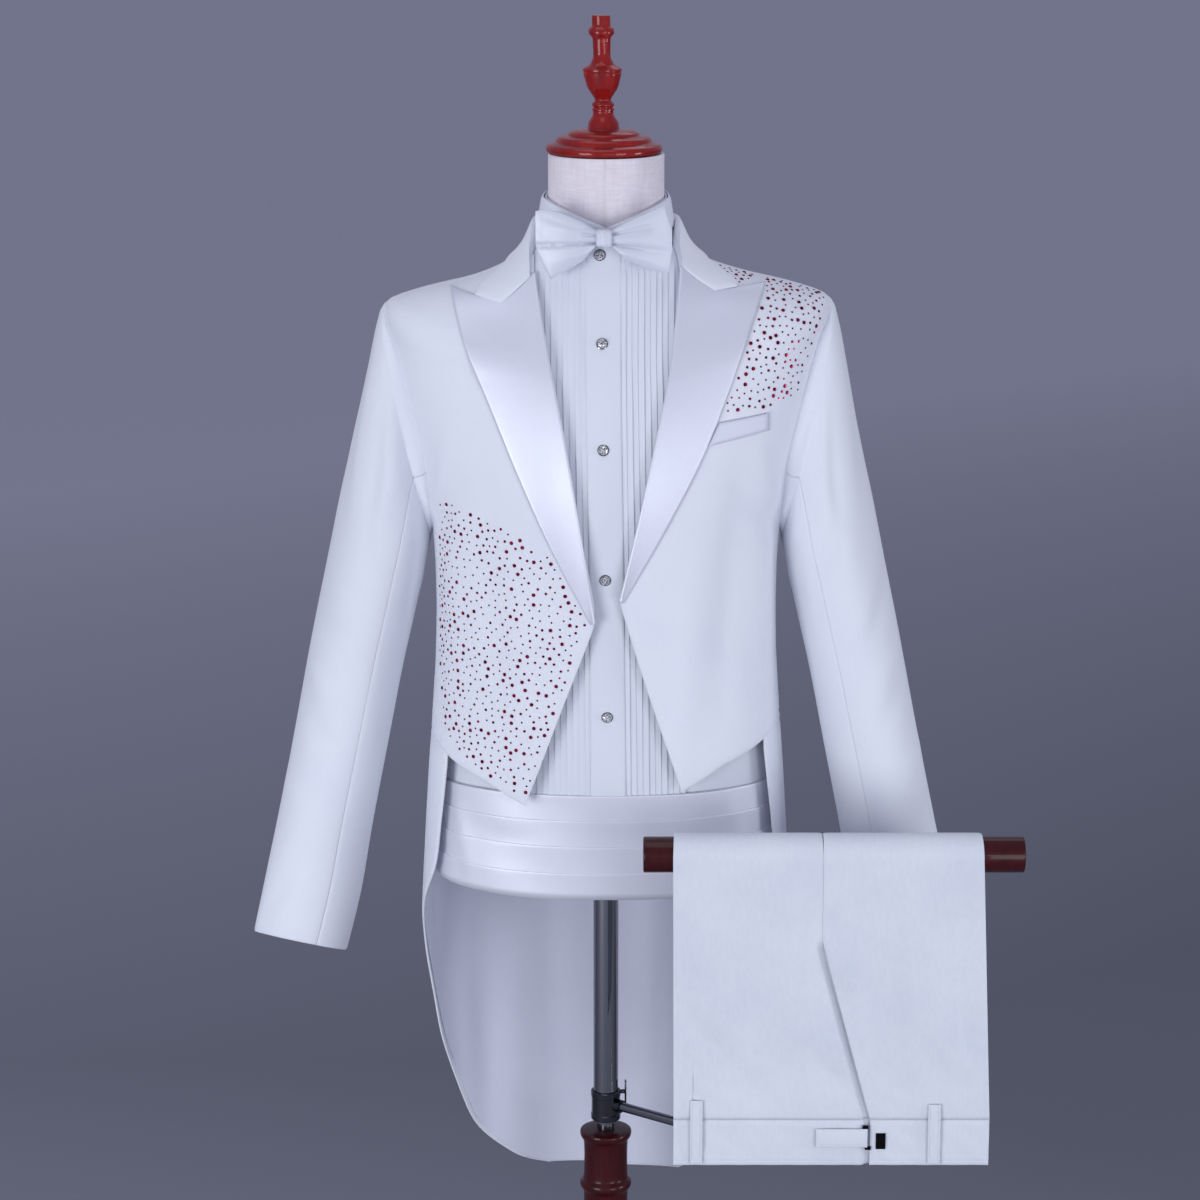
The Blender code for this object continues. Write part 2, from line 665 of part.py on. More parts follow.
def stud(number, z, x):
    """A round faceted stud, standing on the placket."""
    if z > 1480:  # on the collar's stand
        lean = np.array((x * MM, -STAND_RADIUS, 0)) / math.hypot(x * MM, STAND_RADIUS)
        face = lean * (STAND_RADIUS + 0.3 * MM) + np.array((0, 0, z * MM))
    else:
        face = on_front(x * MM, z * MM, lambda h: shirt_ease(h) + 3.0 * MM)
        lean = outward(*find(x * MM, z * MM))
    bpy.ops.mesh.primitive_cone_add(
        vertices=12, radius1=STUD_RADIUS, radius2=STUD_RADIUS * 0.62, depth=STUD_DEPTH
    )
    made = bpy.context.object
    made.name = made.data.name = f"stud_{number}"
    made.rotation_mode = "QUATERNION"
    made.rotation_quaternion = Vector(lean).to_track_quat("Z", "Y")
    made.location = face + lean * STUD_DEPTH / 2
    made.data.materials.append(CRYSTAL)
    keep(made)


def neck_ring(radius, z, steps, start=0.0, end=360.0, y=0.0):
    return [
        np.array((radius * math.sin(a), y - radius * math.cos(a), z(a)))
        for a in (math.radians(start + (end - start) * i / steps) for i in range(steps + 1))
    ]


def shirt_collar():
    """The stand round the neck and the leaf that falls over it, open at the front."""

    def top(a):
        return 1.512 + 0.023 * abs(math.sin(a)) if math.cos(a) > 0 else 1.535 - 0.008 * math.cos(a)

    def foot(a):
        return 1.486 - 0.012 * math.cos(a)

    stand = [neck_ring(STAND_RADIUS, foot, 24, 1, 359), neck_ring(STAND_RADIUS, top, 24, 1, 359)]
    cloth("shirt_collar_stand", stand, SHIRT_CLOTH, COTTON)
    leaf = [
        neck_ring(65.0 * MM, lambda a: top(a) - 0.028 + 0.009 * max(0, math.cos(a)) ** 4, 24, 2, 358),
        neck_ring(64.4 * MM, lambda a: top(a) - 0.004, 24, 2, 358),
        neck_ring(61.2 * MM, lambda a: top(a) + 0.0006, 24, 2, 358),
    ]
    cloth("shirt_collar_leaf", leaf, SHIRT_CLOTH, COTTON)


def bow_wing(side):
    """A wing of the bow: a flat loop of satin, pinched at the knot, with folds running out of it."""
    table = BOW_RIGHT if side == RIGHT else BOW_LEFT
    around = 14
    rings = []
    for reach, low, high, thick in table:
        ring = []
        for i in range(around):
            a = 2 * math.pi * i / around
            c, s = math.cos(a), math.sin(a)
            z = ((low + high) / 2 - (high - low) / 2 * math.copysign(abs(s) ** 0.7, s)) * MM
            fold = 1 - 0.28 * math.cos(3 * a) * (1 if reach < 60 else 0.3)
            y = BOW_DEPTH - math.copysign(abs(c) ** 0.7, c) * thick * MM * fold * 0.8
            ring.append(np.array((BOW_KNOT[0] + reach * MM, y + 0.05 * reach * MM, z)))
        rings.append(ring)
    name = "bow_wing_right" if side == RIGHT else "bow_wing_left"
    if side == LEFT:
        rings = [
            [np.array((2 * BOW_KNOT[0] - p[0], p[1], p[2])) for p in reversed(ring)] for ring in rings
        ]
    return lofted(name, rings, SATIN)


def bow_tie():
    bow_wing(RIGHT)
    bow_wing(LEFT)
    x, z = BOW_KNOT
    block(
        "bow_knot",
        (x - 8.4 * MM, BOW_DEPTH - 9.5 * MM, z - 8.2 * MM),
        (x + 8.4 * MM, BOW_DEPTH + 7 * MM, z + 8.2 * MM),
        2.8 * MM,
        SATIN,
    )
    band = []
    for rise in (0, 0.015):
        band.append(neck_ring(62.3 * MM, lambda a, k=rise: 1.504 - 0.009 * math.cos(a) + k, 24, 9, 351))
    cloth("bow_band", band, 1.2 * MM, SATIN)


def cummerbund():
    """Four pleats that open upwards, raised on the outside of a plain band."""
    outer, inner = [], []
    steps = 18
    for low, high in zip(CUMMERBUND, CUMMERBUND[1:]):
        for z, rise in ((low, 0.0), (high - 0.5 * MM, 1.0)):
            row_out, row_in = [], []
            for i in range(steps + 1):
                angle = -CUMMERBUND_HALF_ANGLE + 2 * CUMMERBUND_HALF_ANGLE * i / steps
                share = abs(angle / CUMMERBUND_HALF_ANGLE) ** 3
                height = z + 0.016 * share * (CUMMERBUND[-1] - z) / (CUMMERBUND[-1] - CUMMERBUND[0])
                row_out.append(layer(angle, height, CUMMERBUND_OUT + rise * CUMMERBUND_PLEAT))
                row_in.append(layer(angle, height, CUMMERBUND_OUT - 2.0 * MM))
            outer.append(row_out)
            inner.append(row_in)
    wall("cummerbund", outer, inner, SATIN)
    start = CUMMERBUND_HALF_ANGLE + 0.3
    rows = [
        [layer(start + (360 - 2 * start) * i / 16, height, CUMMERBUND_OUT) for i in range(17)]
        for height in (0.888, 0.918)
    ]
    cloth("cummerbund_strap", rows, 1.6 * MM, SATIN)


# ---------------------------------------------------------------- the dress form and its stand


def dress_form():
    heights = (0.88, 0.96, 1.04, 1.12, 1.20, 1.27, 1.34, 1.40, 1.437, 1.4495, 1.4595)
    steps = 24
    rings = [[layer(360 * i / steps, FORM_FOOT, shirt_ease(FORM_FOOT) - FORM_EASE) for i in range(steps)]]
    for point in rings[0]:
        point[2] = FORM_FOOT
    for height in heights:
        out = shirt_ease(height) - FORM_EASE
        rings.append([layer(360 * i / steps, height, out) for i in range(steps)])
    rings.append(neck_ring(NECK_RADIUS, lambda a: 1.470 - 0.016 * math.cos(a), steps)[:-1])
    for z in (1.50, NECK_TOP):
        rings.append(neck_ring(NECK_RADIUS, lambda a, level=z: level, steps)[:-1])
    return lofted("dress_form", rings, FORM_COVER)


def stand():
    rings = []
    for r, z in reversed(FINIAL):
        middle = FINIAL_LEAN[0] + FINIAL_LEAN[1] * (z - FINIAL[-1][1]) * MM
        rings.append([p + np.array((middle, 0, 0)) for p in neck_ring(r * MM, lambda _: z * MM, 14)[:-1]])
    lofted("finial", rings, RED_WOOD)
    turned("pole", POLE, 16, CHROME)
    turned("column", COLUMN, 14, DARK_WOOD)
    turned("base", BASE, 24, DARK_WOOD)
    inner, outer, low, high = CLAMP
    ring = [(inner, high), (outer, high), (outer, low), (inner, low), (inner, high)]
    turned("pole_clamp", [(r / MM, z / MM) for r, z in ring], 20, CHROME)


def tube(name, points, radius, finish):
    curve = bpy.data.curves.new(name, "CURVE")
    curve.dimensions = "3D"
    curve.bevel_depth = radius
    curve.bevel_resolution = 2
    curve.use_fill_caps = True
    spline = curve.splines.new("POLY")
    spline.points.add(len(points) - 1)
    for knot, point in zip(spline.points, points):
        knot.co = (*point, 1)
    curve.materials.append(finish)
    made = bpy.data.objects.new(name, curve)
    SUIT.objects.link(made)
    return made


def trouser_bar():
    points = np.array(ARM) * MM
    dense = []
    for i in range(len(points) - 1):
        a, b = points[i], points[i + 1]
        before, after = points[max(i - 1, 0)], points[min(i + 2, len(points) - 1)]
        for t in (0, 0.5):
            dense.append(
                0.5 * (2 * a + (b - before) * t + (2 * before - 5 * a + 4 * b - after) * t**2
                + (3 * a - before - 3 * b + after) * t**3)
            )
    dense.append(points[-1])
    tube("bar_arm", dense, 5 * MM, CHROME)
    ends = [(BAR_ENDS[0], BAR_Y, BAR_Z), (BAR_ENDS[1], BAR_Y, BAR_Z)]
    bar = tube("trouser_bar", ends, BAR_RADIUS, DARK_WOOD)
    bar.data.bevel_resolution = 4


# ---------------------------------------------------------------- the trousers


def fly_x(z):
    """The fly's edge: at a slant from the crotch to the waist, then straight down."""
    heights = (WAIST_EDGE, WAIST_SEAM, CROTCH[1])
    return float(np.interp(z, heights, (FLY_FOOT, FLY_FOOT, CROTCH[0])))


def across_leg(side, z, sunk):
    """Points across the front of a leg at height z: x, and how far it lies back. The left one runs
    a little way under the right one along the fly."""
    down = min(1, max(0, (BAR_Z - z) / (BAR_Z - WAIST_SEAM)))
    left = TROUSER_SIDES[0] + (TROUSER_SIDES[2] - TROUSER_SIDES[0]) * down
    right = TROUSER_SIDES[1] + (TROUSER_SIDES[3] - TROUSER_SIDES[1]) * down
    fly = fly_x(z)
    if side == RIGHT:
        return [(fly + SEAM / 2 + (right - fly) * k / 4, 0) for k in range(5)]
    below = max(0, CROTCH[1] - z)
    sunk *= min(1, below / (10 * MM))
    under = 7 * MM * min(1, max(0, below - 12 * MM) / (18 * MM))
    return [
        (left, 0),
        ((left + fly) / 2, 0),
        (fly - 12 * MM, 0),
        (fly - 1.2 * MM, sunk),
        (fly + under - SEAM / 2, sunk),
    ]


def trouser_leg(side):
    """One leg, its front and back lying on each other: from the waist seam up over the bar, down
    behind it, and turned up again to the hem."""
    radius = BAR_RADIUS + LEG_GAP + LEG_CLOTH
    rows = []
    for z in (WAIST_SEAM + SEAM, 0.70, 0.76, 0.816, CROTCH[1] - 0.012, CROTCH[1], 0.89, BAR_Z):
        points = across_leg(side, z, LEG_CLOTH + SEAM)
        rows.append([np.array((x, BAR_Y - radius + back, z)) for x, back in points])
    top = [x for x, _ in across_leg(side, BAR_Z, 0)]
    hem = HEM_SIDES[2:] if side == RIGHT else HEM_SIDES[:2]
    turn = LEG_CLOTH + 0.5 * MM
    path = []
    for k in (30, 60, 90, 120, 150):
        a = math.radians(k)
        path.append((BAR_Y - radius * math.cos(a), BAR_Z + radius * math.sin(a)))
    path += [(BAR_Y + radius, z) for z in (BAR_Z, 0.85, 0.76, 0.66)]
    for k in (60, 120):
        a = math.radians(k)
        path.append((BAR_Y + radius + turn * (1 - math.cos(a)), 0.66 - turn * math.sin(a)))
    path += [(BAR_Y + radius + 2 * turn, z) for z in (0.66, 0.76, 0.85, 0.915)]
    lengths = [math.dist(p, q) for p, q in zip(path, path[1:])]
    gone = [sum(lengths[:i]) / sum(lengths) for i in range(len(path))]
    for (y, z), share in zip(path, gone):
        low = top[0] + (hem[0] - top[0]) * share
        high = top[-1] + (hem[1] - top[-1]) * share
        first, last = top[0], top[-1]
        rows.append([np.array((low + (x - first) / (last - first) * (high - low), y, z)) for x in top])
    name = "trouser_leg_right" if side == RIGHT else "trouser_leg_left"
    cloth(name, rows, LEG_CLOTH, SUITING)


def waistband(side):
    face = BAR_Y - BAR_RADIUS - LEG_GAP - LEG_CLOTH
    rows = []
    for z in (WAIST_EDGE, WAIST_SEAM - SEAM):
        points = across_leg(side, z, WAISTBAND_CLOTH + SEAM)
        rows.append([np.array((x, face + back, z)) for x, back in points])
    name = "waistband_right" if side == RIGHT else "waistband_left"
    cloth(name, rows, WAISTBAND_CLOTH, SUITING)


def trousers():
    for side in (LEFT, RIGHT):
        trouser_leg(side)
        waistband(side)
    face = BAR_Y - BAR_RADIUS - LEG_GAP - LEG_CLOTH - SEAM
    for name, left, right, low, high in BELT_LOOPS:
        block(
            name, (left * MM, face - 1.6 * MM, low * MM), (right * MM, face, high * MM), 0.5 * MM, SUITING
        )
    x, wide, z, tall = (value * MM for value in TAB)
    block("waist_tab", (x, face - 1.8 * MM, z), (x + wide, face, z + tall), 0.6 * MM, SUITING)
    x, wide, z, tall = (value * MM for value in HOOK)
    block("waist_hook", (x, face - 1.2 * MM, z), (x + wide, face, z + tall), 0.4 * MM, BLACK_METAL)


# ---------------------------------------------------------------- build

for leftover in list(bpy.data.objects):
    bpy.data.objects.remove(leftover, do_unlink=True)

SUIT = bpy.data.collections.new("tuxedo on dress form")
bpy.context.scene.collection.children.link(SUIT)

SUITING = material("white suiting", (0.80, 0.82, 0.87), 0.75)
SATIN = material("white satin", (0.82, 0.84, 0.89), 0.35)
COTTON = material("white shirting", (0.80, 0.83, 0.88), 0.8)
CRYSTAL = material("crystal", (0.75, 0.78, 0.8), 0.1, 0.3)
FORM_COVER = material("form cover", (0.78, 0.72, 0.72), 0.8)
RED_WOOD = material("red wood", (0.30, 0.03, 0.02), 0.25)
DARK_WOOD = material("dark wood", (0.10, 0.015, 0.015), 0.25)
CHROME = material("chrome", (0.6, 0.6, 0.62), 0.12, 1.0)
BLACK_METAL = material("black metal", (0.02, 0.02, 0.02), 0.35, 0.6)

for hand in (RIGHT, LEFT):
    coat_front(hand)
    coat_back(hand)
    sleeves(hand)
    lapel(hand)
    shirt_bib(hand)
collar()
breast_pocket()
shirt_body()
placket()
for count, (stud_z, stud_x) in enumerate(STUDS, 1):
    stud(count, stud_z, stud_x)
shirt_collar()
bow_tie()
cummerbund()
dress_form()
stand()
trouser_bar()
trousers()
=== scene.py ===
"""The looks of a white evening suit on a dress form: tailcoat with satin lapels, pleated shirt front,
bow tie and cummerbund, and the trousers folded over the bar of the form's stand.

Cloth on the body is worked out from the outside of the coat, as in the part: angle 0 is the centre
front, 180 the centre back, and height is measured at the body's side. Tables are in mm."""

import math
import random

import bmesh
import bpy
import numpy as np
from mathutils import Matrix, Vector


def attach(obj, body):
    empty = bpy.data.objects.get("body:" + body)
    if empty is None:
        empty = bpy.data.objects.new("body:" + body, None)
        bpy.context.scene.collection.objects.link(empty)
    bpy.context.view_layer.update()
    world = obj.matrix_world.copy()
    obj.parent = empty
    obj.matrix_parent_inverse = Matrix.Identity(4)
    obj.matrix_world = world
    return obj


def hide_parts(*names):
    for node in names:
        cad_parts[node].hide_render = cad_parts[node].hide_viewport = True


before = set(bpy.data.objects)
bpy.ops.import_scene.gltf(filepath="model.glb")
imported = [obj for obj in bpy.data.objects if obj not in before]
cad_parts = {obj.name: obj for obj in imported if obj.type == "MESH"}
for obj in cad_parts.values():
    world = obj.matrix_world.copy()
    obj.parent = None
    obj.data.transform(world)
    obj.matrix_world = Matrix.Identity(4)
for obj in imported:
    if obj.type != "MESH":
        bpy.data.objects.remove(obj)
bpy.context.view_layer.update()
MM = 0.001
RIGHT, LEFT = 1, -1  # the viewer's right and left
CORNER = 0.9  # the power that squares the rings of the body a little
ARMPIT, SHOULDER_TIP, COAT_TOP = 1.205, 1.437, 1.488
ARMHOLE_MIDDLE, ARMHOLE_HALF = (SHOULDER_TIP + ARMPIT) / 2, (SHOULDER_TIP - ARMPIT) / 2
ARMHOLE_FRONT, ARMHOLE_BACK = 24, 28  # how far it is cut into the front and the back, in degrees
SIDE_SEAM = 95
COAT_CLOTH, SLEEVE_CLOTH, SHIRT_CLOTH = 1.8 * MM, 1.7 * MM, 0.8 * MM

# ---------------------------------------------------------------- camera, floor and light

bpy.ops.object.select_all(action="DESELECT")
bpy.ops.object.camera_add(location=(-0.006, -3.27, 1.94), rotation=(math.radians(76.1), 0, 0))
camera = bpy.context.object
camera.data.lens = 101.07
camera.data.sensor_width = 36
bpy.context.scene.camera = camera


def softbox(name, place, aim, size, power, tint):
    bpy.ops.object.light_add(type="AREA", location=place)
    light = bpy.context.object
    light.name = name
    light.data.shape = "RECTANGLE"
    light.data.size, light.data.size_y = size
    light.data.energy = power
    light.data.color = tint
    light.rotation_mode = "QUATERNION"
    light.rotation_quaternion = (Vector(aim) - Vector(place)).to_track_quat("-Z", "Y")


softbox("key", (-2.1, -2.7, 1.05), (0, 0, 1.05), (1.5, 1.6), 52, (0.95, 0.98, 1))
softbox("fill", (1.9, -2.9, 0.95), (0, 0, 1.0), (1.2, 1.5), 25, (0.92, 0.95, 1))
softbox("low_side", (3.1, -1.0, 0.85), (0.3, -0.05, 0.85), (0.8, 0.8), 20, (0.93, 0.96, 1))
softbox("front", (0.5, -3.6, 0.8), (0, 0, 0.8), (1.6, 0.6), 6, (0.94, 0.97, 1))
softbox("overhead", (-0.4, -0.5, 3.9), (0, -0.1, 1.0), (2.4, 1.8), 16, (0.94, 0.97, 1))
softbox("back", (0.7, 2.0, 3.5), (0, 0, 1.2), (1.8, 1.2), 6, (0.93, 0.96, 1))

world = bpy.data.worlds.new("studio")
world.use_nodes = True
world.node_tree.nodes["Background"].inputs["Color"].default_value = (0.60, 0.62, 0.80, 1)
world.node_tree.nodes["Background"].inputs["Strength"].default_value = 0.55
bpy.context.scene.world = world
bpy.context.scene.view_settings.view_transform = "Standard"

# ---------------------------------------------------------------- shader sums


class Sum:
    """A shader socket that sums are written with."""

    def __init__(self, tree, socket):
        self.tree, self.socket = tree, socket

    def of(self, kind, other=0.0, clamp=False):
        return made_of(self.tree, "ShaderNodeMath", {"operation": kind, "use_clamp": clamp}, self, other)

    def clamped(self):
        return self.of("ADD", clamp=True)

    def __add__(self, other):
        return self.of("ADD", other)

    def __sub__(self, other):
        return self.of("SUBTRACT", other)

    def __rsub__(self, other):
        return self.of("MULTIPLY", -1.0) + other

    def __mul__(self, other):
        return self.of("MULTIPLY", other)

    __radd__, __rmul__ = __add__, __mul__


def made_of(tree, kind, settings, *inputs, out=0):
    """One shader node: its settings first, then its sockets in order, or by name from a dict."""
    node = tree.nodes.new(kind)
    for key, value in settings.items():
        setattr(node, key, value)
    named = inputs[0] if inputs and isinstance(inputs[0], dict) else dict(enumerate(inputs))
    for key, value in named.items():
        socket = node.inputs[key]
        if isinstance(value, Sum):
            tree.links.new(value.socket, socket)
        else:
            socket.default_value = value
    return Sum(tree, node.outputs[out])


class Finish:
    """A material that is being written: its Principled shader and the sums that feed it."""

    def __init__(self, name, colour, roughness, **uniform):
        self.made = bpy.data.materials.new(name)
        self.made.use_nodes = True
        self.tree = self.made.node_tree
        self.shader = self.tree.nodes["Principled BSDF"]
        self.set("Base Color", (*colour, 1))
        self.set("Roughness", roughness)
        for key, value in uniform.items():
            self.set(key.replace("_", " "), value)

    def set(self, name, value):
        if isinstance(value, Sum):
            self.tree.links.new(value.socket, self.shader.inputs[name])
        else:
            self.shader.inputs[name].default_value = value

    def node(self, kind, settings, *inputs, out=0):
        return made_of(self.tree, kind, settings, *inputs, out=out)

    def parts(self, vector):
        """A vector's x, y and z as sums, and the vector itself."""
        split = self.tree.nodes.new("ShaderNodeSeparateXYZ")
        self.tree.links.new(vector.socket, split.inputs[0])
        return [Sum(self.tree, socket) for socket in split.outputs] + [vector]

    def place(self):
        """Object coordinates."""
        return self.parts(self.node("ShaderNodeTexCoord", {}, out=3))

    def cloth_place(self):
        """Metres across and along the cloth."""
        return self.parts(self.node("ShaderNodeUVMap", {"uv_map": "cloth"}))

    def noise(self, vector, scale, detail=2.0, roughness=0.5, stretch=(1, 1, 1)):
        if stretch != (1, 1, 1):
            vector = self.node("ShaderNodeMapping", {}, {"Vector": vector, "Scale": stretch})
        values = {"Vector": vector, "Scale": scale, "Detail": detail, "Roughness": roughness}
        return self.node("ShaderNodeTexNoise", {}, values)

    def colour(self, share, first, second):
        """Colours the surface from the first to the second, by a share from 0 to 1."""
        values = {0: share, 6: (*first, 1), 7: (*second, 1)}
        self.set("Base Color", self.node("ShaderNodeMix", {"data_type": "RGBA"}, values, out=2))

    def bump(self, height):
        """Raises the surface by a height in metres."""
        values = {"Height": height, "Distance": 1.0, "Strength": 1.0}
        self.set("Normal", self.node("ShaderNodeBump", {}, values))


def cloth_finish(name, light, shade, roughness, pitch, depth, twill, unevenness, **uniform):
    """White cloth: a weave of this pitch and depth in metres, slanted where it is a twill, with soft
    slubs, and painted light and shade: broad noise, with a little of the slubs' tone, turns its colour
    slowly between a lit and a shaded copy of it."""
    made = Finish(name, light, roughness, **uniform)
    across, along, _, vector = made.cloth_place()
    turns = 2 * math.pi / pitch
    if twill:
        slant = ((across + along * 0.9) * turns).of("SINE")
        weave = slant * 0.5 + (across * (turns * 1.7)).of("SINE") * 0.18
    else:
        weave = (across * turns).of("SINE") * (along * turns).of("SINE")
    slub = made.noise(vector, 260, 3, 0.6, (1, 0.35, 1))
    broad = made.noise(vector, 9, 3, 0.55)
    made.bump(weave * depth + (slub - 0.5) * depth * 1.6 + (broad - 0.5) * unevenness)
    # painted light and shade: broad noise and a little slub mix the lit and the shaded colour
    made.colour(((broad - 0.5) * 1.1 + (slub - 0.5) * 0.5 + 0.5).clamped(), light, shade)
    made.set("Roughness", slub * 0.12 + (roughness - 0.06))
    return made.made


SUITING = cloth_finish(
    "white suiting", (0.785, 0.80, 0.855), (0.705, 0.735, 0.82), 0.78, 0.0011, 0.00004, True, 0.0006,
    Sheen_Weight=0.15, Sheen_Roughness=0.5, Specular_IOR_Level=0.3,
)
TROUSERING = cloth_finish(
    "white trousering", (0.745, 0.765, 0.815), (0.565, 0.605, 0.695), 0.78, 0.0011, 0.00004, True, 0.002,
    Sheen_Weight=0.12, Sheen_Roughness=0.5, Specular_IOR_Level=0.3,
)
LINING = cloth_finish(
    "white lining", (0.66, 0.68, 0.785), (0.60, 0.62, 0.735), 0.5, 0.0009, 0.00001, False, 0.001,
    Specular_IOR_Level=0.4,
)
SATIN = cloth_finish(
    "white satin", (0.71, 0.725, 0.81), (0.66, 0.675, 0.775), 0.43, 0.0009, 0.000012, True, 0.0005,
    Metallic=0.3, Specular_IOR_Level=0.5, Sheen_Weight=0.1, Sheen_Roughness=0.35,
)
WELT_CLOTH = cloth_finish(
    "welt cloth", (0.69, 0.705, 0.80), (0.63, 0.645, 0.755), 0.5, 0.0011, 0.00003, True, 0.0005,
    Metallic=0.12, Specular_IOR_Level=0.45,
)
BAND_SATIN = cloth_finish(
    "cummerbund satin", (0.78, 0.79, 0.87), (0.72, 0.73, 0.82), 0.44, 0.0009, 0.00002, False, 0.0008,
    Metallic=0.25, Specular_IOR_Level=0.5, Sheen_Weight=0.1, Sheen_Roughness=0.35,
)
BOW_SATIN = cloth_finish(
    "bow satin", (0.66, 0.685, 0.765), (0.61, 0.635, 0.725), 0.46, 0.0009, 0.000014, True, 0.0005,
    Metallic=0.14, Specular_IOR_Level=0.45, Sheen_Weight=0.1, Sheen_Roughness=0.4,
)
SHIRTING = cloth_finish(
    "white shirting", (0.725, 0.755, 0.825), (0.695, 0.725, 0.805), 0.72, 0.0009, 0.00003, False, 0.0005,
    Specular_IOR_Level=0.3,
)


def linen_cover():
    """The form's cover: plain linen with thick and thin threads both ways, a little soiled."""
    made = Finish("form cover", (0.72, 0.67, 0.73), 0.82, Specular_IOR_Level=0.25)
    vector = made.cloth_place()[-1]
    threads = made.noise(vector, 420, 3, 0.7, (1, 0.05, 1)) + made.noise(vector, 420, 3, 0.7, (0.05, 1, 1))
    smudge = made.noise(vector, 26, 4, 0.65)
    tone = ((threads - 1.0) * 1.6 + (smudge - 0.5) * 1.3 + 0.5).clamped()
    made.colour(tone, (0.82, 0.775, 0.82), (0.70, 0.635, 0.69))
    made.bump(threads * 0.0003)
    return made.made


LINEN = linen_cover()


def varnished(name, dark, light, roughness, coat):
    """Turned wood under varnish: grain that runs along the turning's axis."""
    made = Finish(name, light, roughness, Coat_Weight=coat, Coat_Roughness=0.03, Specular_IOR_Level=0.12)
    vector = made.place()[-1]
    grain = made.noise(vector, 60, 6, 0.6, (1, 1, 0.12))
    fine = made.noise(vector, 380, 3, 0.6, (1, 1, 0.05))
    made.colour(((grain - 0.5) * 1.6 + (fine - 0.5) * 0.6 + 0.6).clamped(), dark, light)
    made.set("Roughness", roughness + grain * 0.1)
    made.bump(fine * 0.00001 + grain * 0.00003)
    return made.made


RED_WOOD = varnished("red wood", (0.13, 0.003, 0.004), (0.33, 0.010, 0.008), 0.3, 0.5)
DARK_WOOD = varnished("dark wood", (0.014, 0.002, 0.003), (0.062, 0.005, 0.007), 0.3, 0.25)


def metal(name, colour, roughness, spread):
    """Bare metal, with smears and hair lines in its gloss."""
    made = Finish(name, colour, roughness, Metallic=1.0)
    vector = made.place()[-1]
    smear = made.noise(vector, 35, 4, 0.6, (1, 1, 0.4))
    hair = made.noise(vector, 900, 2, 0.5, (1, 1, 0.06))
    made.set("Roughness", smear * spread + hair * (spread * 0.5) + (roughness - spread * 0.7))
    made.bump(hair * 0.00001)
    return made.made


CHROME = metal("chrome", (0.225, 0.23, 0.245), 0.06, 0.03)
DARK_CHROME = metal("dark chrome", (0.07, 0.07, 0.08), 0.14, 0.06)


def stone_finish(name, colour, edge, roughness, **uniform):
    """Cut glass with painted glints: fine noise turns its colour in spots from the dark one to the bright
    edge colour, as if facets caught the light.
    """
    made = Finish(name, colour, roughness, **uniform)
    vector = made.place()[-1]
    # painted glints: spots of the bright edge colour stand in for facets that catch the lamps
    made.colour(((made.noise(vector, 900, 1, 0.5) - 0.5) * 5 + 0.5).clamped(), colour, edge)
    return made.made


# the second colour of each stone is its painted glint
RED_STONE = stone_finish(
    "dark red stone", (0.025, 0.0005, 0.010), (0.36, 0.004, 0.050), 0.16, Metallic=0.75,
    Specular_IOR_Level=0.1,
)
CRYSTAL = stone_finish(
    "crystal", (0.05, 0.055, 0.07), (1.0, 1.0, 1.0), 0.05, Metallic=0.45, Coat_Weight=0.4,
)
BLACK = metal("black metal", (0.012, 0.012, 0.013), 0.3, 0.1)

FLOOR = Finish("pale floor", (0.4, 0.41, 0.5), 0.85)
side_on, deep, _, _ = FLOOR.place()
# painted light and shade on the floor: darkest about 1.6 m behind the form, paler further from there and
# towards the viewer's left
far = ((deep - 1.6).of("ABSOLUTE") * 0.19 - side_on * 0.12 + 0.02).clamped()
FLOOR.colour(far, (0.135, 0.143, 0.178), (0.46, 0.465, 0.55))
bpy.ops.mesh.primitive_plane_add(size=240, location=(0, 0, 0))
floor = bpy.context.object
floor.name = "floor"
floor.data.materials.append(FLOOR.made)

# ---------------------------------------------------------------- the coat's surface

# height at the side, at the centre front and at the centre back, half width, depth in front, behind
COAT = np.array((
    (460, 460, 460, 182, 112, 128),
    (600, 600, 600, 185, 112, 130),
    (700, 700, 700, 187, 112, 130),
    (800, 800, 800, 188, 112, 128),
    (880, 880, 880, 184, 113, 122),
    (960, 960, 960, 179, 114, 112),
    (1020, 1020, 1020, 174.5, 116, 106),
    (1080, 1080, 1080, 170.5, 119, 105),
    (1140, 1140, 1140, 169, 123, 109),
    (1205, 1205, 1205, 172.5, 127, 115),
    (1270, 1262, 1270, 187, 126, 119),
    (1340, 1318, 1336, 205, 118, 118),
    (1400, 1364, 1392, 215, 107, 110),
    (1437, 1392, 1427, 217, 97, 99),
    (1449.5, 1414, 1445, 184, 87, 89),
    (1459.5, 1432, 1460, 140, 79, 80),
    (1471, 1452, 1476, 103, 73, 74),
    (1487, 1470, 1492, 81, 69, 70),
    (1512, 1486, 1514, 69, 66, 67),
)) * MM
SHIRT_EASE = ((800, 20), (960, 20), (1060, 16), (1160, 12), (1300, 9), (1460, 8), (1500, 6))


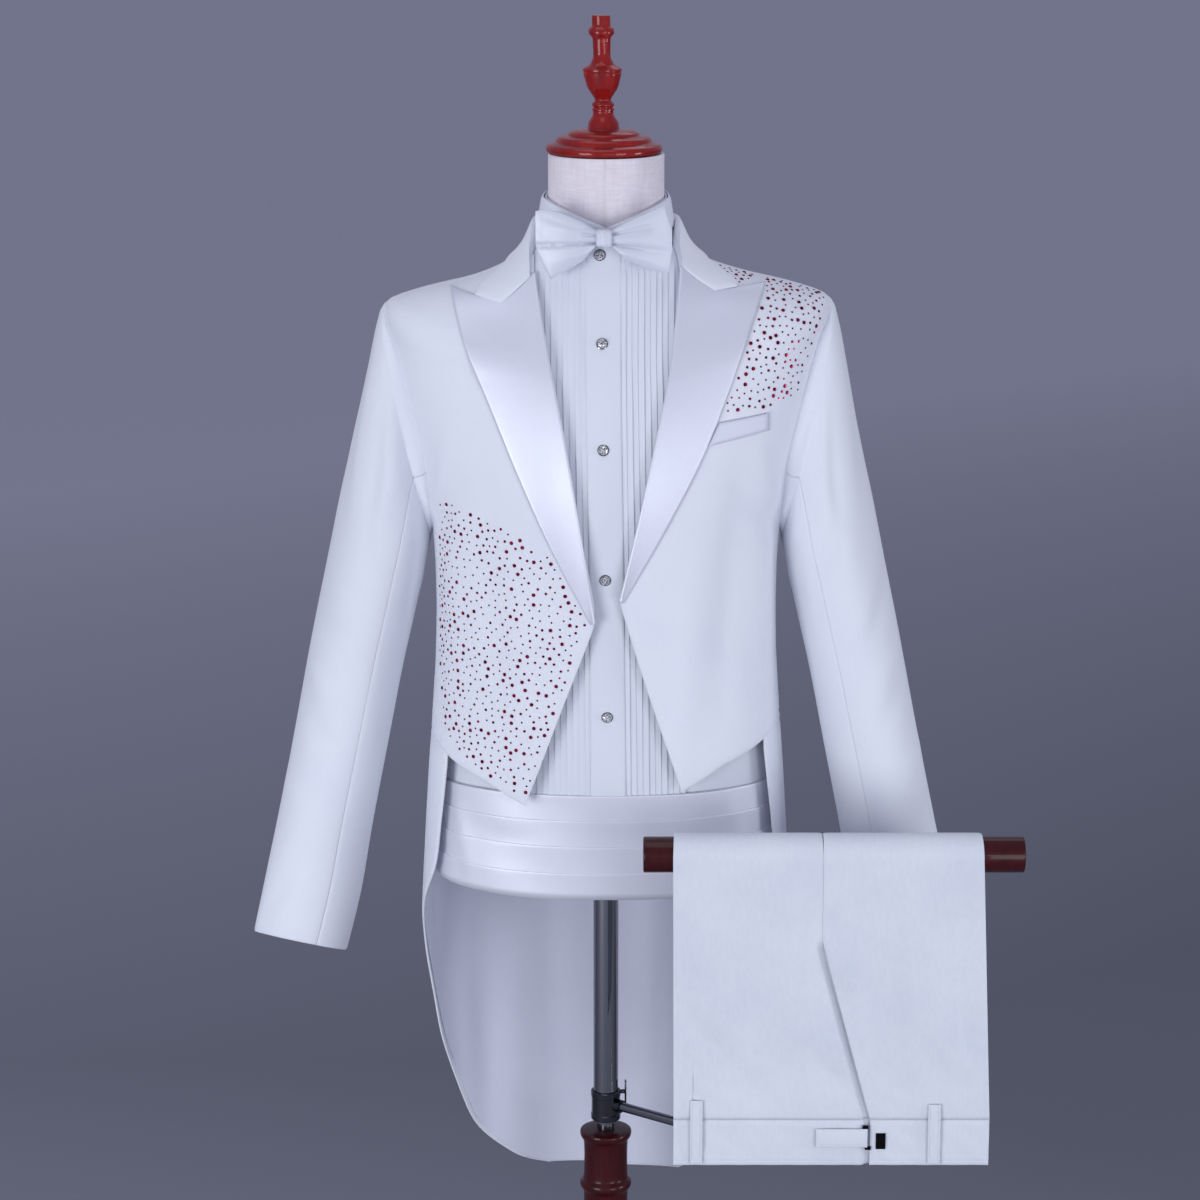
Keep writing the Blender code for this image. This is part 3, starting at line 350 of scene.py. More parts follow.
def curve_through(table, x):
    """The other columns of a table at x in its first one, on a smooth curve through its rows."""
    table = np.asarray(table, float)
    xs = table[:, 0]
    slope = np.empty_like(table)
    slope[1:-1] = (table[2:] - table[:-2]) / (xs[2:] - xs[:-2])[:, None]
    slope[0] = (table[1] - table[0]) / (xs[1] - xs[0])
    slope[-1] = (table[-1] - table[-2]) / (xs[-1] - xs[-2])
    x = np.clip(np.asarray(x, float), xs[0], xs[-1])
    i = np.clip(np.searchsorted(xs, x) - 1, 0, len(xs) - 2)
    d = (xs[i + 1] - xs[i])[..., None]
    t = (x - xs[i])[..., None] / d
    return (
        (2 * t**3 - 3 * t**2 + 1) * table[i]
        + (t**3 - 2 * t**2 + t) * d * slope[i]
        + (3 * t**2 - 2 * t**3) * table[i + 1]
        + (t**3 - t**2) * d * slope[i + 1]
    )


def together(*values):
    """Numbers and arrays as float arrays of one shape."""
    return np.broadcast_arrays(*(np.asarray(value, float) for value in values))


def stacked(*columns):
    """x, y and z, each a number or an array, as points."""
    return np.stack(np.broadcast_arrays(*columns), -1)


def part_way(value, start, reach):
    """0 up to the start, 1 from one reach past it, and evenly in between."""
    return np.clip((value - start) / reach, 0, 1)


def soft(share):
    """A share from 0 to 1, eased at both ends."""
    return share * share * (3 - 2 * share)


def bell(off):
    """1 at 0, falling away to both sides."""
    return np.exp(-(off**2))


def on_coat(angle, height):
    angle, height = together(angle, height)
    ring = curve_through(COAT, height)
    s, c = np.sin(np.radians(angle)), np.cos(np.radians(angle))
    ahead = c >= 0
    x = ring[..., 3] * np.sign(s) * np.abs(s) ** CORNER
    y = -np.where(ahead, ring[..., 4], ring[..., 5]) * np.sign(c) * np.abs(c) ** CORNER
    z = ring[..., 0] + (np.where(ahead, ring[..., 1], ring[..., 2]) - ring[..., 0]) * c * c
    return stacked(x, y, z)


def outward(angle, height):
    """Which way the coat's surface faces."""
    across = on_coat(angle + 0.5, height) - on_coat(angle - 0.5, height)
    up = on_coat(angle, np.minimum(height + 0.002, COAT[-1, 0])) - on_coat(angle, height - 0.002)
    normal = np.cross(across, up)
    return normal / np.linalg.norm(normal, axis=-1)[..., None]


def layer(angle, height, out=0.0):
    """Points this far outside the coat's surface."""
    angle, height, out = together(angle, height, out)
    return on_coat(angle, height) + outward(angle, height) * out[..., None]


def angle_at(x, width):
    """The angle of a point in front at x, on a ring of this half width."""
    return np.sign(x) * np.degrees(np.arcsin(np.minimum(1, np.abs(x) / width) ** (1 / CORNER)))


def find(x, z):
    """Angle and height on the front of the coat's surface of points seen from the front."""
    low, high = np.full(np.shape(x), COAT[0, 0]), np.full(np.shape(x), COAT[-1, 0])
    for _ in range(34):
        height = (low + high) / 2
        angle = angle_at(x, curve_through(COAT, height)[..., 3])
        under = on_coat(angle, height)[..., 2] < z
        low, high = np.where(under, height, low), np.where(under, high, height)
    return angle, height


def on_front(x, z, out):
    """Points at x and z, seen from the front, this far outside the coat's surface."""
    x, z, out = together(x, z, out)
    angle, height = find(x, z)
    for _ in range(4):
        lift = outward(angle, height) * out[..., None]
        angle, height = find(x - lift[..., 0], z - lift[..., 2])
    return layer(angle, height, out)


def read_off(table, height):
    """What a table in mm says at a height, in metres."""
    return np.interp(np.asarray(height) / MM, *zip(*table)) * MM


def shirt_ease(height):
    return -read_off(SHIRT_EASE, height)


def side_ease(angle, height):
    """The shirt's ease, less at the sides under the waist, where it fills the coat."""
    round_side = part_way(np.abs((np.asarray(angle) + 180) % 360 - 180), 40, 45)
    return shirt_ease(height) + 6.5 * MM * soft(round_side * part_way(height, 1.08, -0.08))


def on_shirt(x, height, out):
    """Points in front at x and a height, this far outside the shirt's surface."""
    x, height, out = together(x, height, out)
    width = curve_through(COAT, height)[..., 3] + shirt_ease(height)
    return layer(angle_at(x, width), height, shirt_ease(height) + out)


def settled(points):
    """The viewer's left shoulder sits a little lower and narrower than the right one."""
    share = soft(part_way(-points[..., 0], 0.06, 0.08)) * soft(part_way(points[..., 2], 1.28, 0.12))
    return points + share[..., None] * np.array((2.5, 0, -5.5)) * MM


def creases(across, up, table):
    """Soft ridges and troughs laid along short lines, in mm: across and up at one end, at the
    other, half width, and height over the cloth, below 0 for a trough."""
    total = np.zeros(np.broadcast(across, up).shape)
    for a0, u0, a1, u1, wide, high in table:
        da, du = a1 - a0, u1 - u0
        long = math.hypot(da, du)
        t = ((across - a0) * da + (up - u0) * du) / long**2
        off = ((across - a0) * du - (up - u0) * da) / long
        inside = np.clip(t, 0, 1)
        past = (t - inside) * long
        along = 0.3 + 0.7 * np.sin(math.pi * inside)
        total += high * np.exp(-((off / wide) ** 2) - (past / wide) ** 2) * along
    return total * MM


def spread(count, pinch=0.012):
    """Shares from 0 to 1 with three close rows at each end, where an edge turns over."""
    ends = np.array((0, 0.3, 0.8)) * pinch
    return np.concatenate((ends, np.linspace(pinch * 1.8, 1 - pinch * 1.8, count), 1 - ends[::-1]))


def strides(points, axis):
    """The distances from row to row (axis 0) or from column to column (1) of a grid of points."""
    return np.linalg.norm(np.diff(points, axis=axis), axis=2)


def run(lengths):
    """How far along a line of these lengths each of its points is."""
    return np.concatenate(([0], np.cumsum(lengths)))


def turned_edge(points, depth=0.9 * MM, reach=1.6 * MM, sides=(1, 1, 1, 1)):
    """How far the cloth dips towards its four edges: first and last row, first and last column."""
    down = np.vstack((np.zeros((1, points.shape[1])), np.cumsum(strides(points, 0), 0)))
    over = np.hstack((np.zeros((points.shape[0], 1)), np.cumsum(strides(points, 1), 1)))
    gaps = (down, down[-1:] - down, over, over[:, -1:] - over)
    dip = np.zeros(points.shape[:2])
    for gap, wanted in zip(gaps, sides):
        if wanted:
            dip = np.maximum(dip, bell(gap / reach))
    return -depth * dip


def normals(points):
    """Which way a grid of points faces."""
    normal = np.cross(np.gradient(points, axis=1), np.gradient(points, axis=0))
    return normal / np.maximum(np.linalg.norm(normal, axis=2), 1e-9)[..., None]


# ---------------------------------------------------------------- making pieces


def only(piece):
    bpy.ops.object.select_all(action="DESELECT")
    piece.select_set(True)
    bpy.context.view_layer.objects.active = piece


def applied(piece, kind, **settings):
    only(piece)
    made = piece.modifiers.new("step", kind)
    for key, value in settings.items():
        setattr(made, key, value)
    bpy.ops.object.modifier_apply(modifier=made.name)


def grid_faces(rows, columns, closed=False):
    faces = []
    for r in range(rows - 1):
        for c in range(columns if closed else columns - 1):
            d = (c + 1) % columns
            faces.append((r * columns + c, r * columns + d, (r + 1) * columns + d, (r + 1) * columns + c))
    return faces


def capped_tube(rows, columns):
    """The faces of a closed tube of points, with its two ends."""
    last = (rows - 1) * columns
    ends = [tuple(range(columns - 1, -1, -1)), tuple(range(last, last + columns))]
    return grid_faces(rows, columns, closed=True) + ends


def linked(name, data):
    piece = bpy.data.objects.new(name, data)
    bpy.context.scene.collection.objects.link(piece)
    only(piece)
    return piece


def mesh_of(name, points, faces, finish):
    mesh = bpy.data.meshes.new(name)
    mesh.from_pydata(points.tolist(), [], faces)
    mesh.materials.append(finish)
    return linked(name, mesh)


def smoothed(angle):
    """Shades what is selected smooth, but for corners sharper than this."""
    bpy.ops.object.shade_smooth_by_angle(angle=math.radians(angle))


def woven(name, points, faces, finish, smooth):
    """A piece over a grid of points, with metres across and along the cloth as its own map."""
    piece = mesh_of(name, settled(points.reshape(-1, 3)), faces, finish)
    smoothed(smooth)
    over, down = run(strides(points, 1).mean(0)), run(strides(points, 0).mean(1))
    vertices = np.empty(len(piece.data.loops), int)
    piece.data.loops.foreach_get("vertex_index", vertices)
    row, column = np.divmod(vertices, points.shape[1])
    uv = piece.data.uv_layers.new(name="cloth")
    uv.data.foreach_set("uv", np.stack((over[column], down[row]), 1).ravel())
    return piece


def sheet_area(points):
    a, b = points[:-1, :-1], points[:-1, 1:]
    c, d = points[1:, 1:], points[1:, :-1]
    first = np.linalg.norm(np.cross(b - a, c - a), axis=-1)
    second = np.linalg.norm(np.cross(c - a, d - a), axis=-1)
    return float((first + second).sum() / 2)


def riding(piece, slot, *nodes):
    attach(piece, "root")
    if nodes:
        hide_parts(*nodes)
    return piece


def cloth(name, points, thickness, finish, slot, nodes, on="dress_form", smooth=50):
    """A sheet through a grid of points, seen from outside with the first row lowest and the columns
    running to the right, with its thickness inside."""
    piece = woven(name, points, grid_faces(*points.shape[:2]), finish, smooth)
    applied(piece, "SOLIDIFY", thickness=thickness, offset=-1)
    riding(piece, slot, *nodes)
    wide, long = float(strides(points, 1).sum(1).max()), float(strides(points, 0).sum(0).max())
    area = min(sheet_area(points), wide * long)


def for_side(points, side):
    """The right piece's points, as the left piece's."""
    return points if side == RIGHT else points[:, ::-1] * np.array((-1, 1, 1))


def word(side):
    return "right" if side == RIGHT else "left"


# ---------------------------------------------------------------- the tailcoat

# The front's free edge: height, distance from the centre. Under the closing point it is cut away,
# above it the lapel rolls over it.
CUTAWAY = {
    RIGHT: ((950, 78.5), (962, 74.6), (1010, 58.9), (1059, 42.8), (1108, 27.6), (1156, 13.5)),
    LEFT: ((936, 84), (948, 79.6), (994, 62.8), (1043.8, 44.8), (1090, 27.5), (1133.2, 11.6)),
}
ROLL_LINE = {
    RIGHT: (
        (1156, 13.5), (1241, 32.5), (1316, 48.6), (1379, 62), (1426, 67.9), (1472, 73.1), (1500, 72),
        (1520, 71),
    ),
    LEFT: (
        (1133.2, 11.6), (1162.3, 12.5), (1243.3, 28.6), (1322, 41.9), (1359.9, 49.5), (1387.3, 55.2),
        (1416.8, 61.1), (1462.8, 69.1), (1472, 70.5), (1500, 71.5), (1520, 71),
    ),
}
# The front's lower edge: share of the way round to the side seam, height.
FRONT_HEM = {
    RIGHT: ((0, 962), (0.246, 986), (0.614, 1005.6), (1, 1030)),
    LEFT: ((0, 948), (0.255, 969.5), (0.575, 987.2), (1, 1011.2)),
}
# The tail's free edge, from the hem up to the waist: height, angle.
TAIL_SIDE = (
    (652, 112.7), (702, 106.7), (752, 99), (815, 88), (877, 69), (935, 64.7), (985, 62.5), (1005.2, 62),
)
TAIL_EDGE = {
    RIGHT: ((470, 157), (478, 152), (490, 146), (520, 138), (547, 131), (601, 121.7)) + TAIL_SIDE,
    LEFT: ((474.5, 163), (480, 156.5), (490, 149.5), (520, 137), (547, 129.5), (601, 120.5)) + TAIL_SIDE,
}
WAIST, WAIST_AT_SEAM = 1.0053, 1.0296
# The viewer's left front hangs lower: height, drop.
LEFT_DROP = ((300, 0), (500, 0), (950, 18), (1160, 20), (1205, 16), (1450, 7))


def drop_at(height, side):
    return read_off(LEFT_DROP, height) * (side == LEFT)


def raised(height, side):
    """The height in the tables that a height on this side stands for."""
    if side == RIGHT:
        return height
    heights, drops = np.array(LEFT_DROP).T
    return np.interp(np.asarray(height) / MM, heights - drops, heights) * MM


def edge_angle(height, side):
    """The angle of the front's free edge on the ring at a height."""
    low, high = np.zeros(np.shape(height)), np.full(np.shape(height), 90.0)
    below, above = CUTAWAY[side], ROLL_LINE[side]
    for _ in range(30):
        angle = (low + high) / 2
        point = on_coat(angle, height)
        z = point[..., 2] / MM
        x = np.where(z < above[0][0], curve_through(below, z)[..., 1], curve_through(above, z)[..., 1])
        inside = point[..., 0] < x * MM
        low, high = np.where(inside, angle, low), np.where(inside, high, angle)
    return angle


def armhole_turn(height):
    return np.arccos(np.clip((height - ARMHOLE_MIDDLE) / ARMHOLE_HALF, -1, 1))


def side_seam(height):
    return np.interp(height, (1.16, ARMPIT), (SIDE_SEAM, 90))


def armhole_heights(count):
    return ARMHOLE_MIDDLE - ARMHOLE_HALF * np.cos(np.linspace(0, math.pi, count))


def panel(name, side, angle, height, points):
    """A front or a back of the coat, its edges turned over."""
    points = points + outward(angle, height) * turned_edge(points)[..., None]
    cloth(
        f"{name}_cloth_{word(side)}", for_side(points, side), COAT_CLOTH, SUITING, "suiting",
        [f"{name}_{word(side)}"],
    )


SHOULDER_ROWS = SHOULDER_TIP + (COAT_TOP - SHOULDER_TIP) * np.linspace(0.05, 1, 15)
FRONT_CREASES = {
    RIGHT: (
        (128, 1290, 112, 1030, 15, -2.2),
        (150, 1250, 156, 1060, 11, 2.0),
        (86, 1200, 74, 990, 14, 1.4),
        (166, 1215, 128, 1262, 9, -2.0),
        (170, 1235, 146, 1300, 8, 1.4),
        (104, 1110, 160, 1085, 12, -1.0),
        (40, 1150, 96, 1120, 10, 0.9),
        (118, 1415, 158, 1385, 12, -1.2),
    ),
    LEFT: (
        (120, 1290, 104, 1040, 16, -1.8),
        (148, 1260, 152, 1050, 12, 1.8),
        (80, 1170, 88, 985, 14, 1.2),
        (168, 1215, 132, 1270, 9, -2.2),
        (172, 1240, 150, 1310, 8, 1.6),
        (100, 1095, 158, 1070, 12, -1.1),
        (36, 1140, 90, 1105, 10, 1.0),
        (112, 1400, 156, 1370, 13, -1.3),
    ),
}


def front_cloth(angle, height, side):
    """The outside of a front panel, with its creases. Angles are those of the right side."""
    flat = on_coat(angle, height)
    lift = creases(flat[..., 0] / MM, flat[..., 2] / MM, FRONT_CREASES[side])
    return layer(angle, height, lift * 1.7)


def coat_front(side):
    """A front panel: its rows follow the hem below and the armhole above."""
    shares, levels = np.array(FRONT_HEM[side]).T
    hem_side = levels[-1] * MM
    low = hem_side + (ARMPIT - hem_side) * np.concatenate(((0, 0.003, 0.01), np.linspace(0.03, 0.97, 34)))
    at_side = np.concatenate((low, armhole_heights(40), SHOULDER_ROWS))
    over = spread(46)
    hem = np.interp(over, shares, levels) * MM
    share = ((at_side - hem_side) / (COAT_TOP - hem_side))[:, None]
    height = hem[None, :] + (COAT_TOP - hem[None, :]) * share
    start = edge_angle(height, side)
    end = np.where(
        height < ARMPIT,
        side_seam(height),
        np.where(height < SHOULDER_TIP, 90 - ARMHOLE_FRONT * np.sin(armhole_turn(height)), 90),
    )
    angle = start + (end - start) * over[None, :]
    panel("coat_front", side, angle, height, front_cloth(angle, height, side))


BACK_CREASES = (
    (60, 1180, 66, 900, 16, -2.6),
    (96, 1150, 92, 860, 14, 2.4),
    (128, 1120, 124, 800, 15, -2.2),
    (160, 1100, 158, 780, 14, 2.0),
    (48, 1240, 88, 1215, 10, -1.8),
    (70, 1330, 150, 1300, 14, 1.2),
    (150, 1400, 190, 1390, 10, -1.0),
    (40, 860, 62, 640, 12, 1.8),
    (84, 820, 96, 520, 15, -2.8),
    (120, 800, 128, 500, 14, 2.4),
    (152, 790, 156, 490, 12, -2.2),
    (182, 780, 186, 490, 11, 1.6),
)


def coat_back(side):
    """Half of the back, which runs on below the waist as a tail."""
    waist, seam_low = WAIST - drop_at(WAIST, side), WAIST_AT_SEAM - drop_at(WAIST_AT_SEAM, side)
    hem, round_end = TAIL_EDGE[side][0][0] * MM + 0.0001, 0.521
    close = hem + (round_end - hem) * (np.arange(22) / 22) ** 1.7
    tail = np.concatenate((close, np.linspace(round_end, waist, 70)))
    heights = np.concatenate((
        tail,
        [waist + (seam_low - waist) * k for k in (0.35, 0.7)],
        np.linspace(seam_low, ARMPIT - 0.004, 24),
        armhole_heights(40),
        SHOULDER_ROWS,
    ))[:, None]
    free = curve_through(TAIL_EDGE[side], raised(heights, side) / MM)[..., 1]
    above = np.interp(heights, (waist, seam_low), (62, SIDE_SEAM))
    start = np.where(
        heights <= waist,
        free,
        np.where(
            heights < seam_low,
            above,
            np.where(
                heights < ARMPIT,
                side_seam(heights),
                np.where(heights < SHOULDER_TIP, 90 + ARMHOLE_BACK * np.sin(armhole_turn(heights)), 90),
            ),
        ),
    )
    over = spread(44)[None, :]
    angle = start + (180 - start) * over
    height = np.broadcast_to(heights, angle.shape)
    lift = creases((angle - 90) * 2.5, height / MM, BACK_CREASES)
    panel("coat_back", side, angle, height, layer(angle, height, lift))
    rows = slice(3, len(tail))  # the tail's lining, a little inside its edges
    inset = start[rows] + 2.2
    angle = inset + (180 - inset) * over
    height = np.broadcast_to(heights[rows], angle.shape)
    lift = creases((angle - 90) * 2.5, height / MM, BACK_CREASES)
    slack = 0.4 + 0.4 * np.sin(angle * 0.31 + height * 5) * np.sin(angle * 0.13 + side)
    points = layer(angle, height, lift - (2.0 + 1.6 * slack) * MM)
    cloth(
        f"tail_lining_{word(side)}", for_side(points, side), 0.4 * MM, LINING, "satin", [],
        on=f"coat_back_cloth_{word(side)}",
    )


# x and z of the outer point, x and z of the inner one, y of the middle, half depth, drop of the back
SLEEVE = np.array((
    (224, 1428, 173.6, 1200, 0, 56, 0),
    (230, 1404, 174.5, 1194, 0, 61, 0),
    (237, 1368, 176, 1186, 0, 65, 0),
    (245, 1325, 178.5, 1174, 1, 67, 0),
    (254, 1281, 182, 1156, 2, 67, 0),
    (264, 1236, 187, 1136, 3, 66, 0),
    (277, 1172, 194.5, 1104, 3, 64, 2),
    (294, 1092, 205.5, 1056, 0, 61, 6),
    (311, 1008, 219, 988, -8, 57, 12),
    (328, 925, 235.4, 905, -22, 53, 18),
    (342, 859, 247, 839, -38, 48, 24),
    (354.3, 800.4, 261.8, 779.7, -52, 43, 28),
)) * MM
SLEEVE_SEAM = 115  # the under sleeve starts this far round from the sleeve's outer line
SLEEVE_RADIUS = 55.0  # that the creases are laid out on
# Down the sleeve: how far round in degrees and how far down in mm, at both ends, half width, height.
SLEEVE_CREASES = {
    RIGHT: (
        (-60, 30, -84, 150, 11, -2.6),
        (-30, 20, -48, 130, 10, 1.8),
        (-95, 60, -70, 170, 9, 2.0),
        (-78, 250, -20, 205, 11, -2.6),
        (-70, 285, -16, 262, 9, 2.0),
        (-84, 330, -34, 300, 10, -2.2),
        (-60, 380, -10, 365, 10, 1.4),
        (-74, 440, -40, 520, 12, -1.6),
        (10, 120, 16, 330, 18, 1.6),
        (-30, 470, -24, 600, 12, 1.5),
        (60, 250, 96, 215, 12, -2.4),
        (52, 330, 100, 300, 11, 2.0),
        (130, 80, 150, 240, 12, -2.2),
        (-140, 60, -150, 200, 10, -2.0),
    ),
    LEFT: (
        (-58, 24, -80, 160, 11, -2.8),
        (-26, 30, -44, 140, 10, 2.0),
        (-96, 50, -72, 150, 9, 2.2),
        (-80, 232, -26, 250, 11, -2.4),
        (-72, 300, -20, 280, 10, 2.0),
        (-86, 350, -38, 322, 10, -2.4),
        (-56, 410, -14, 400, 10, 1.4),
        (-76, 460, -44, 540, 12, -1.8),
        (6, 140, 12, 350, 18, 1.8),
        (-28, 480, -20, 610, 12, 1.6),
        (60, 260, 98, 225, 12, -2.4),
        (54, 340, 100, 312, 11, 2.0),
        (130, 90, 150, 250, 12, -2.2),
        (-140, 60, -150, 200, 10, -2.0),
    ),
}


def armhole_point(turn, past=0.0, out=0.0):
    """On the armhole's seam, or past it under the coat's cloth."""
    height = ARMHOLE_MIDDLE + (ARMHOLE_HALF + past) * np.cos(turn)
    s = np.sin(turn)
    return layer(90 + (np.where(s > 0, ARMHOLE_BACK, ARMHOLE_FRONT) + past / MM * 0.5) * s, height, out)


def sleeve_rings(turn, count):
    """Rings of a sleeve from the cuff to the armhole, at these turns round it."""
    knots = np.arange(len(SLEEVE)) / (len(SLEEVE) - 1)
    fine = 1 - np.concatenate(((0, 0.0012, 0.004), np.linspace(0.012, 1, count)))
    ring = curve_through(np.column_stack((knots, SLEEVE)), fine)[:, 1:]
    ox, oz, ix, iz, y, depth, drop = (ring[:, k][:, None] for k in range(7))
    c, s = np.cos(turn)[None, :], np.sin(turn)[None, :]
    x = (ox + ix) / 2 + (ox - ix) / 2 * c
    z = (oz + iz) / 2 + (oz - iz) / 2 * c - drop / 2 * s
    rings = stacked(x, y + depth * s, z)
    loop = armhole_point(turn)
    inwards = loop * (1, 0, 0) + (0, 0, ARMHOLE_MIDDLE) - loop
    inwards /= np.linalg.norm(inwards, axis=1)[:, None]
    head = []
    for share, roll in ((0.75, 0.9), (0.45, 1.5), (0.2, 1.2), (0.07, 0.2)):
        head.append(loop + (rings[-1] - loop) * share - inwards * roll * MM)
    head.append(loop - inwards * 0.2 * MM)
    for share, down in ((0.35, 1.5), (1, 3.2)):
        head.append(armhole_point(turn, 3 * MM * share, -down * MM))
    return np.concatenate((rings, np.array(head)))


def sleeve(side, name, start, end, columns):
    """The top or the under sleeve, from one of its seams round to the other."""
    turn = np.radians(start + (end - start) * spread(columns, 0.02))
    rings = sleeve_rings(turn, 96)
    whole = sleeve_rings(np.radians(np.arange(-180, 180, 12)), 96)
    along = strides(whole, 0).mean(1)
    down = (along.sum() - run(along)) / MM
    degrees = np.degrees(turn)[None, :]
    degrees = np.where(degrees > 180, degrees - 360, degrees)
    table = [
        (math.radians(a0) * SLEEVE_RADIUS, v0, math.radians(a1) * SLEEVE_RADIUS, v1, wide, high)
        for a0, v0, a1, v1, wide, high in SLEEVE_CREASES[side]
    ]
    lift = creases(np.radians(degrees) * SLEEVE_RADIUS, down[:, None], table)
    sewn = part_way(np.arange(len(rings))[::-1], 10, 10)[:, None] ** 2
    lift = lift + turned_edge(rings, 0.8 * MM, sides=(1, 0, 0, 0))
    lift = lift + turned_edge(rings, 0.5 * MM, sides=(0, 0, 1, 1)) * sewn
    points = rings + normals(rings) * lift[..., None]
    cloth(
        f"{name}_cloth_{word(side)}", for_side(points, side), SLEEVE_CLOTH, SUITING, "suiting",
        [f"{name}_{word(side)}"], on=f"coat_front_cloth_{word(side)}",
    )


# x and z on the roll line, x and z on the outer edge, bottom to top
LAPEL = {
    RIGHT: (
        (14.2, 1160, 17, 1158.5),
        (32.9, 1241, 60, 1236),
        (48.9, 1316, 92, 1298),
        (62.2, 1379, 117, 1360),
        (68.1, 1426, 136, 1412),
        (73.4, 1474, 154.3, 1455.2),
    ),
    LEFT: (
        (12.4, 1138, 15.5, 1136.5),
        (28.3, 1240, 56, 1217),
        (41.6, 1318, 86, 1283.8),
        (54.1, 1380, 112, 1345.8),
        (62.9, 1425, 137, 1403),
        (70.3, 1468, 154.0, 1456.6),
    ),
}
LAPEL_NOTCH = {RIGHT: (103.9, 1451.0), LEFT: (101.5, 1445.0)}


def lapel(side):
    """A peaked lapel of satin, rolled over at the fold line and lying flat towards its edge."""
    table = np.array(LAPEL[side], float)
    notch = np.array(LAPEL_NOTCH[side])
    up = spread(58)
    over = np.concatenate(([-1.0, -0.72, -0.42, -0.18], spread(34, 0.02)))
    s = np.maximum(over, 0)
    edges = curve_through(np.column_stack((np.arange(6) / 5, table)), up)[:, 1:]
    flat = edges[:, None, 0:2] * (1 - s)[None, :, None] + edges[:, None, 2:4] * s[None, :, None]
    level = table[-1, 0:2][None, :] * (1 - s)[:, None] + table[-1, 2:4][None, :] * s[:, None]
    peak = [np.interp(s, (0, 0.4, 1), (table[-1, k], notch[k], table[-1, k + 2])) for k in (0, 1)]
    top = np.stack(peak, 1)
    places = flat + (top - level)[None] * (up**5)[:, None, None]
    lift = 2.2 + (3.0 * (1 - s)[None, :] ** 1.4) * (1 - up**5)[:, None]
    lift += (1.1 * s * s)[None, :] * (np.clip(up * 5, 0, 1) * (1 - up**3))[:, None]
    swell = np.sin(math.pi * up)[:, None] * np.sin(math.pi * s)[None, :]
    lift += (-0.9 + 1.6 * up[:, None] ** 2) * swell
    fold = over < 0
    turn = (-over[fold]) * math.radians(150)
    places[:, fold, 0] -= (2.3 * np.sin(turn))[None, :]
    lift[:, fold] += (-2.2 * (1 - np.cos(turn)))[None, :]
    x, z = places[..., 0] * MM, places[..., 1] * MM
    lift = lift * MM + turned_edge(stacked(x, 0, z), 0.9 * MM, 0.7 * MM, sides=(0, 1, 0, 1))
    points = on_front(x, z, lift)
    cloth(
        f"lapel_satin_{word(side)}", for_side(points, side), 1.3 * MM, SATIN, "satin",
        [f"lapel_{word(side)}"], on=f"coat_front_cloth_{word(side)}",
    )


# angle and height of the crease, then of the outer edge
COLLAR = np.array((
    (51, 1478.5, 48.4, 1460.9),
    (57, 1484.5, 60.0, 1458.6),
    (66, 1498.0, 68, 1461.8),
    (78, 1508.5, 77, 1467.5),
    (90, 1511.5, 89, 1473.5),
    (116, 1512.0, 116, 1472.0),
    (142, 1512.0, 142, 1469.0),
    (168, 1512.0, 168, 1467.5),
    (180, 1512.0, 180, 1467.5),
), float)
COLLAR_LEFT = np.array((
    (44.3, 1472.1, 41.4, 1457.7),
    (51, 1477.6, 58.3, 1457.4),
    (66, 1490.0, 68, 1461.8),
    (78, 1503.0, 77, 1467.5),
    (90, 1509.5, 89, 1473.5),
))


COLLAR_END, COLLAR_LENGTH = 23, 300  # its slanted end, and from there to the centre back, in mm


def coat_collar():
    """The collar: its fall outside, the roll round the neck, and the stand inside."""
    halves = {}
    for side in (RIGHT, LEFT):
        table = COLLAR if side == RIGHT else np.concatenate((COLLAR_LEFT, COLLAR[5:]))
        end = np.array((0, 0.03, 0.1, 0.3, 0.5, 0.7, 0.9, 0.97))[:, None]
        knots = np.array((0.09, 0.2, 0.32, 0.42, 0.58, 0.74, 0.91, 1))
        fine = np.concatenate(([0.09, 0.093, 0.1], np.linspace(0.11, 1, 60)))
        around = curve_through(np.column_stack((knots, table[1:])), fine)[:, 1:]
        rows = np.concatenate((table[0] + (table[1] - table[0]) * end, around))
        crease, top, edge, low = rows[:, 0], rows[:, 1] * MM, rows[:, 2], rows[:, 3] * MM
        away = np.concatenate((end[:, 0] * COLLAR_END, COLLAR_END + (fine - 0.09) * COLLAR_LENGTH))
        columns = []
        for t in spread(14, 0.04):
            height = low + (top - low) * t
            dip = bell(t * 45 / 1.4) + bell(away / 1.4)
            out = 3.4 + 1.0 * math.sin(math.pi * t) - 0.9 * np.minimum(dip, 1)
            columns.append(layer(edge + (crease - edge) * t, height, out * MM))
        rim = layer(crease, top, 3.4 * MM)
        inner = layer(crease, top, -2.6 * MM)
        middle, radius = (rim + inner) / 2, (rim - inner) / 2
        for k in (35, 70, 105, 140):
            a = math.radians(k)
            columns.append(middle + radius * math.cos(a) + np.array((0, 0, 1.6 * MM)) * math.sin(a))
        inwards = part_way(crease, 56, 8) * 5
        for down in (0, 3, 6, 12, 20):
            columns.append(layer(crease, top - down * MM, (-2.8 - inwards * min(1, down / 6)) * MM))
        halves[side] = np.array(columns)
    points = np.concatenate((halves[RIGHT], for_side(halves[LEFT], LEFT)[:, 1:]), 1)
    cloth(
        "coat_collar_satin", points, 1.2 * MM, SUITING, "satin", ["coat_collar"],
        on="coat_back_cloth_right",
    )


# The welt's corners, x and z: lower inner, lower outer, upper outer, upper inner.
WELT = np.array(((97, 1309), (156, 1319.5), (156, 1337), (108, 1331)), float)


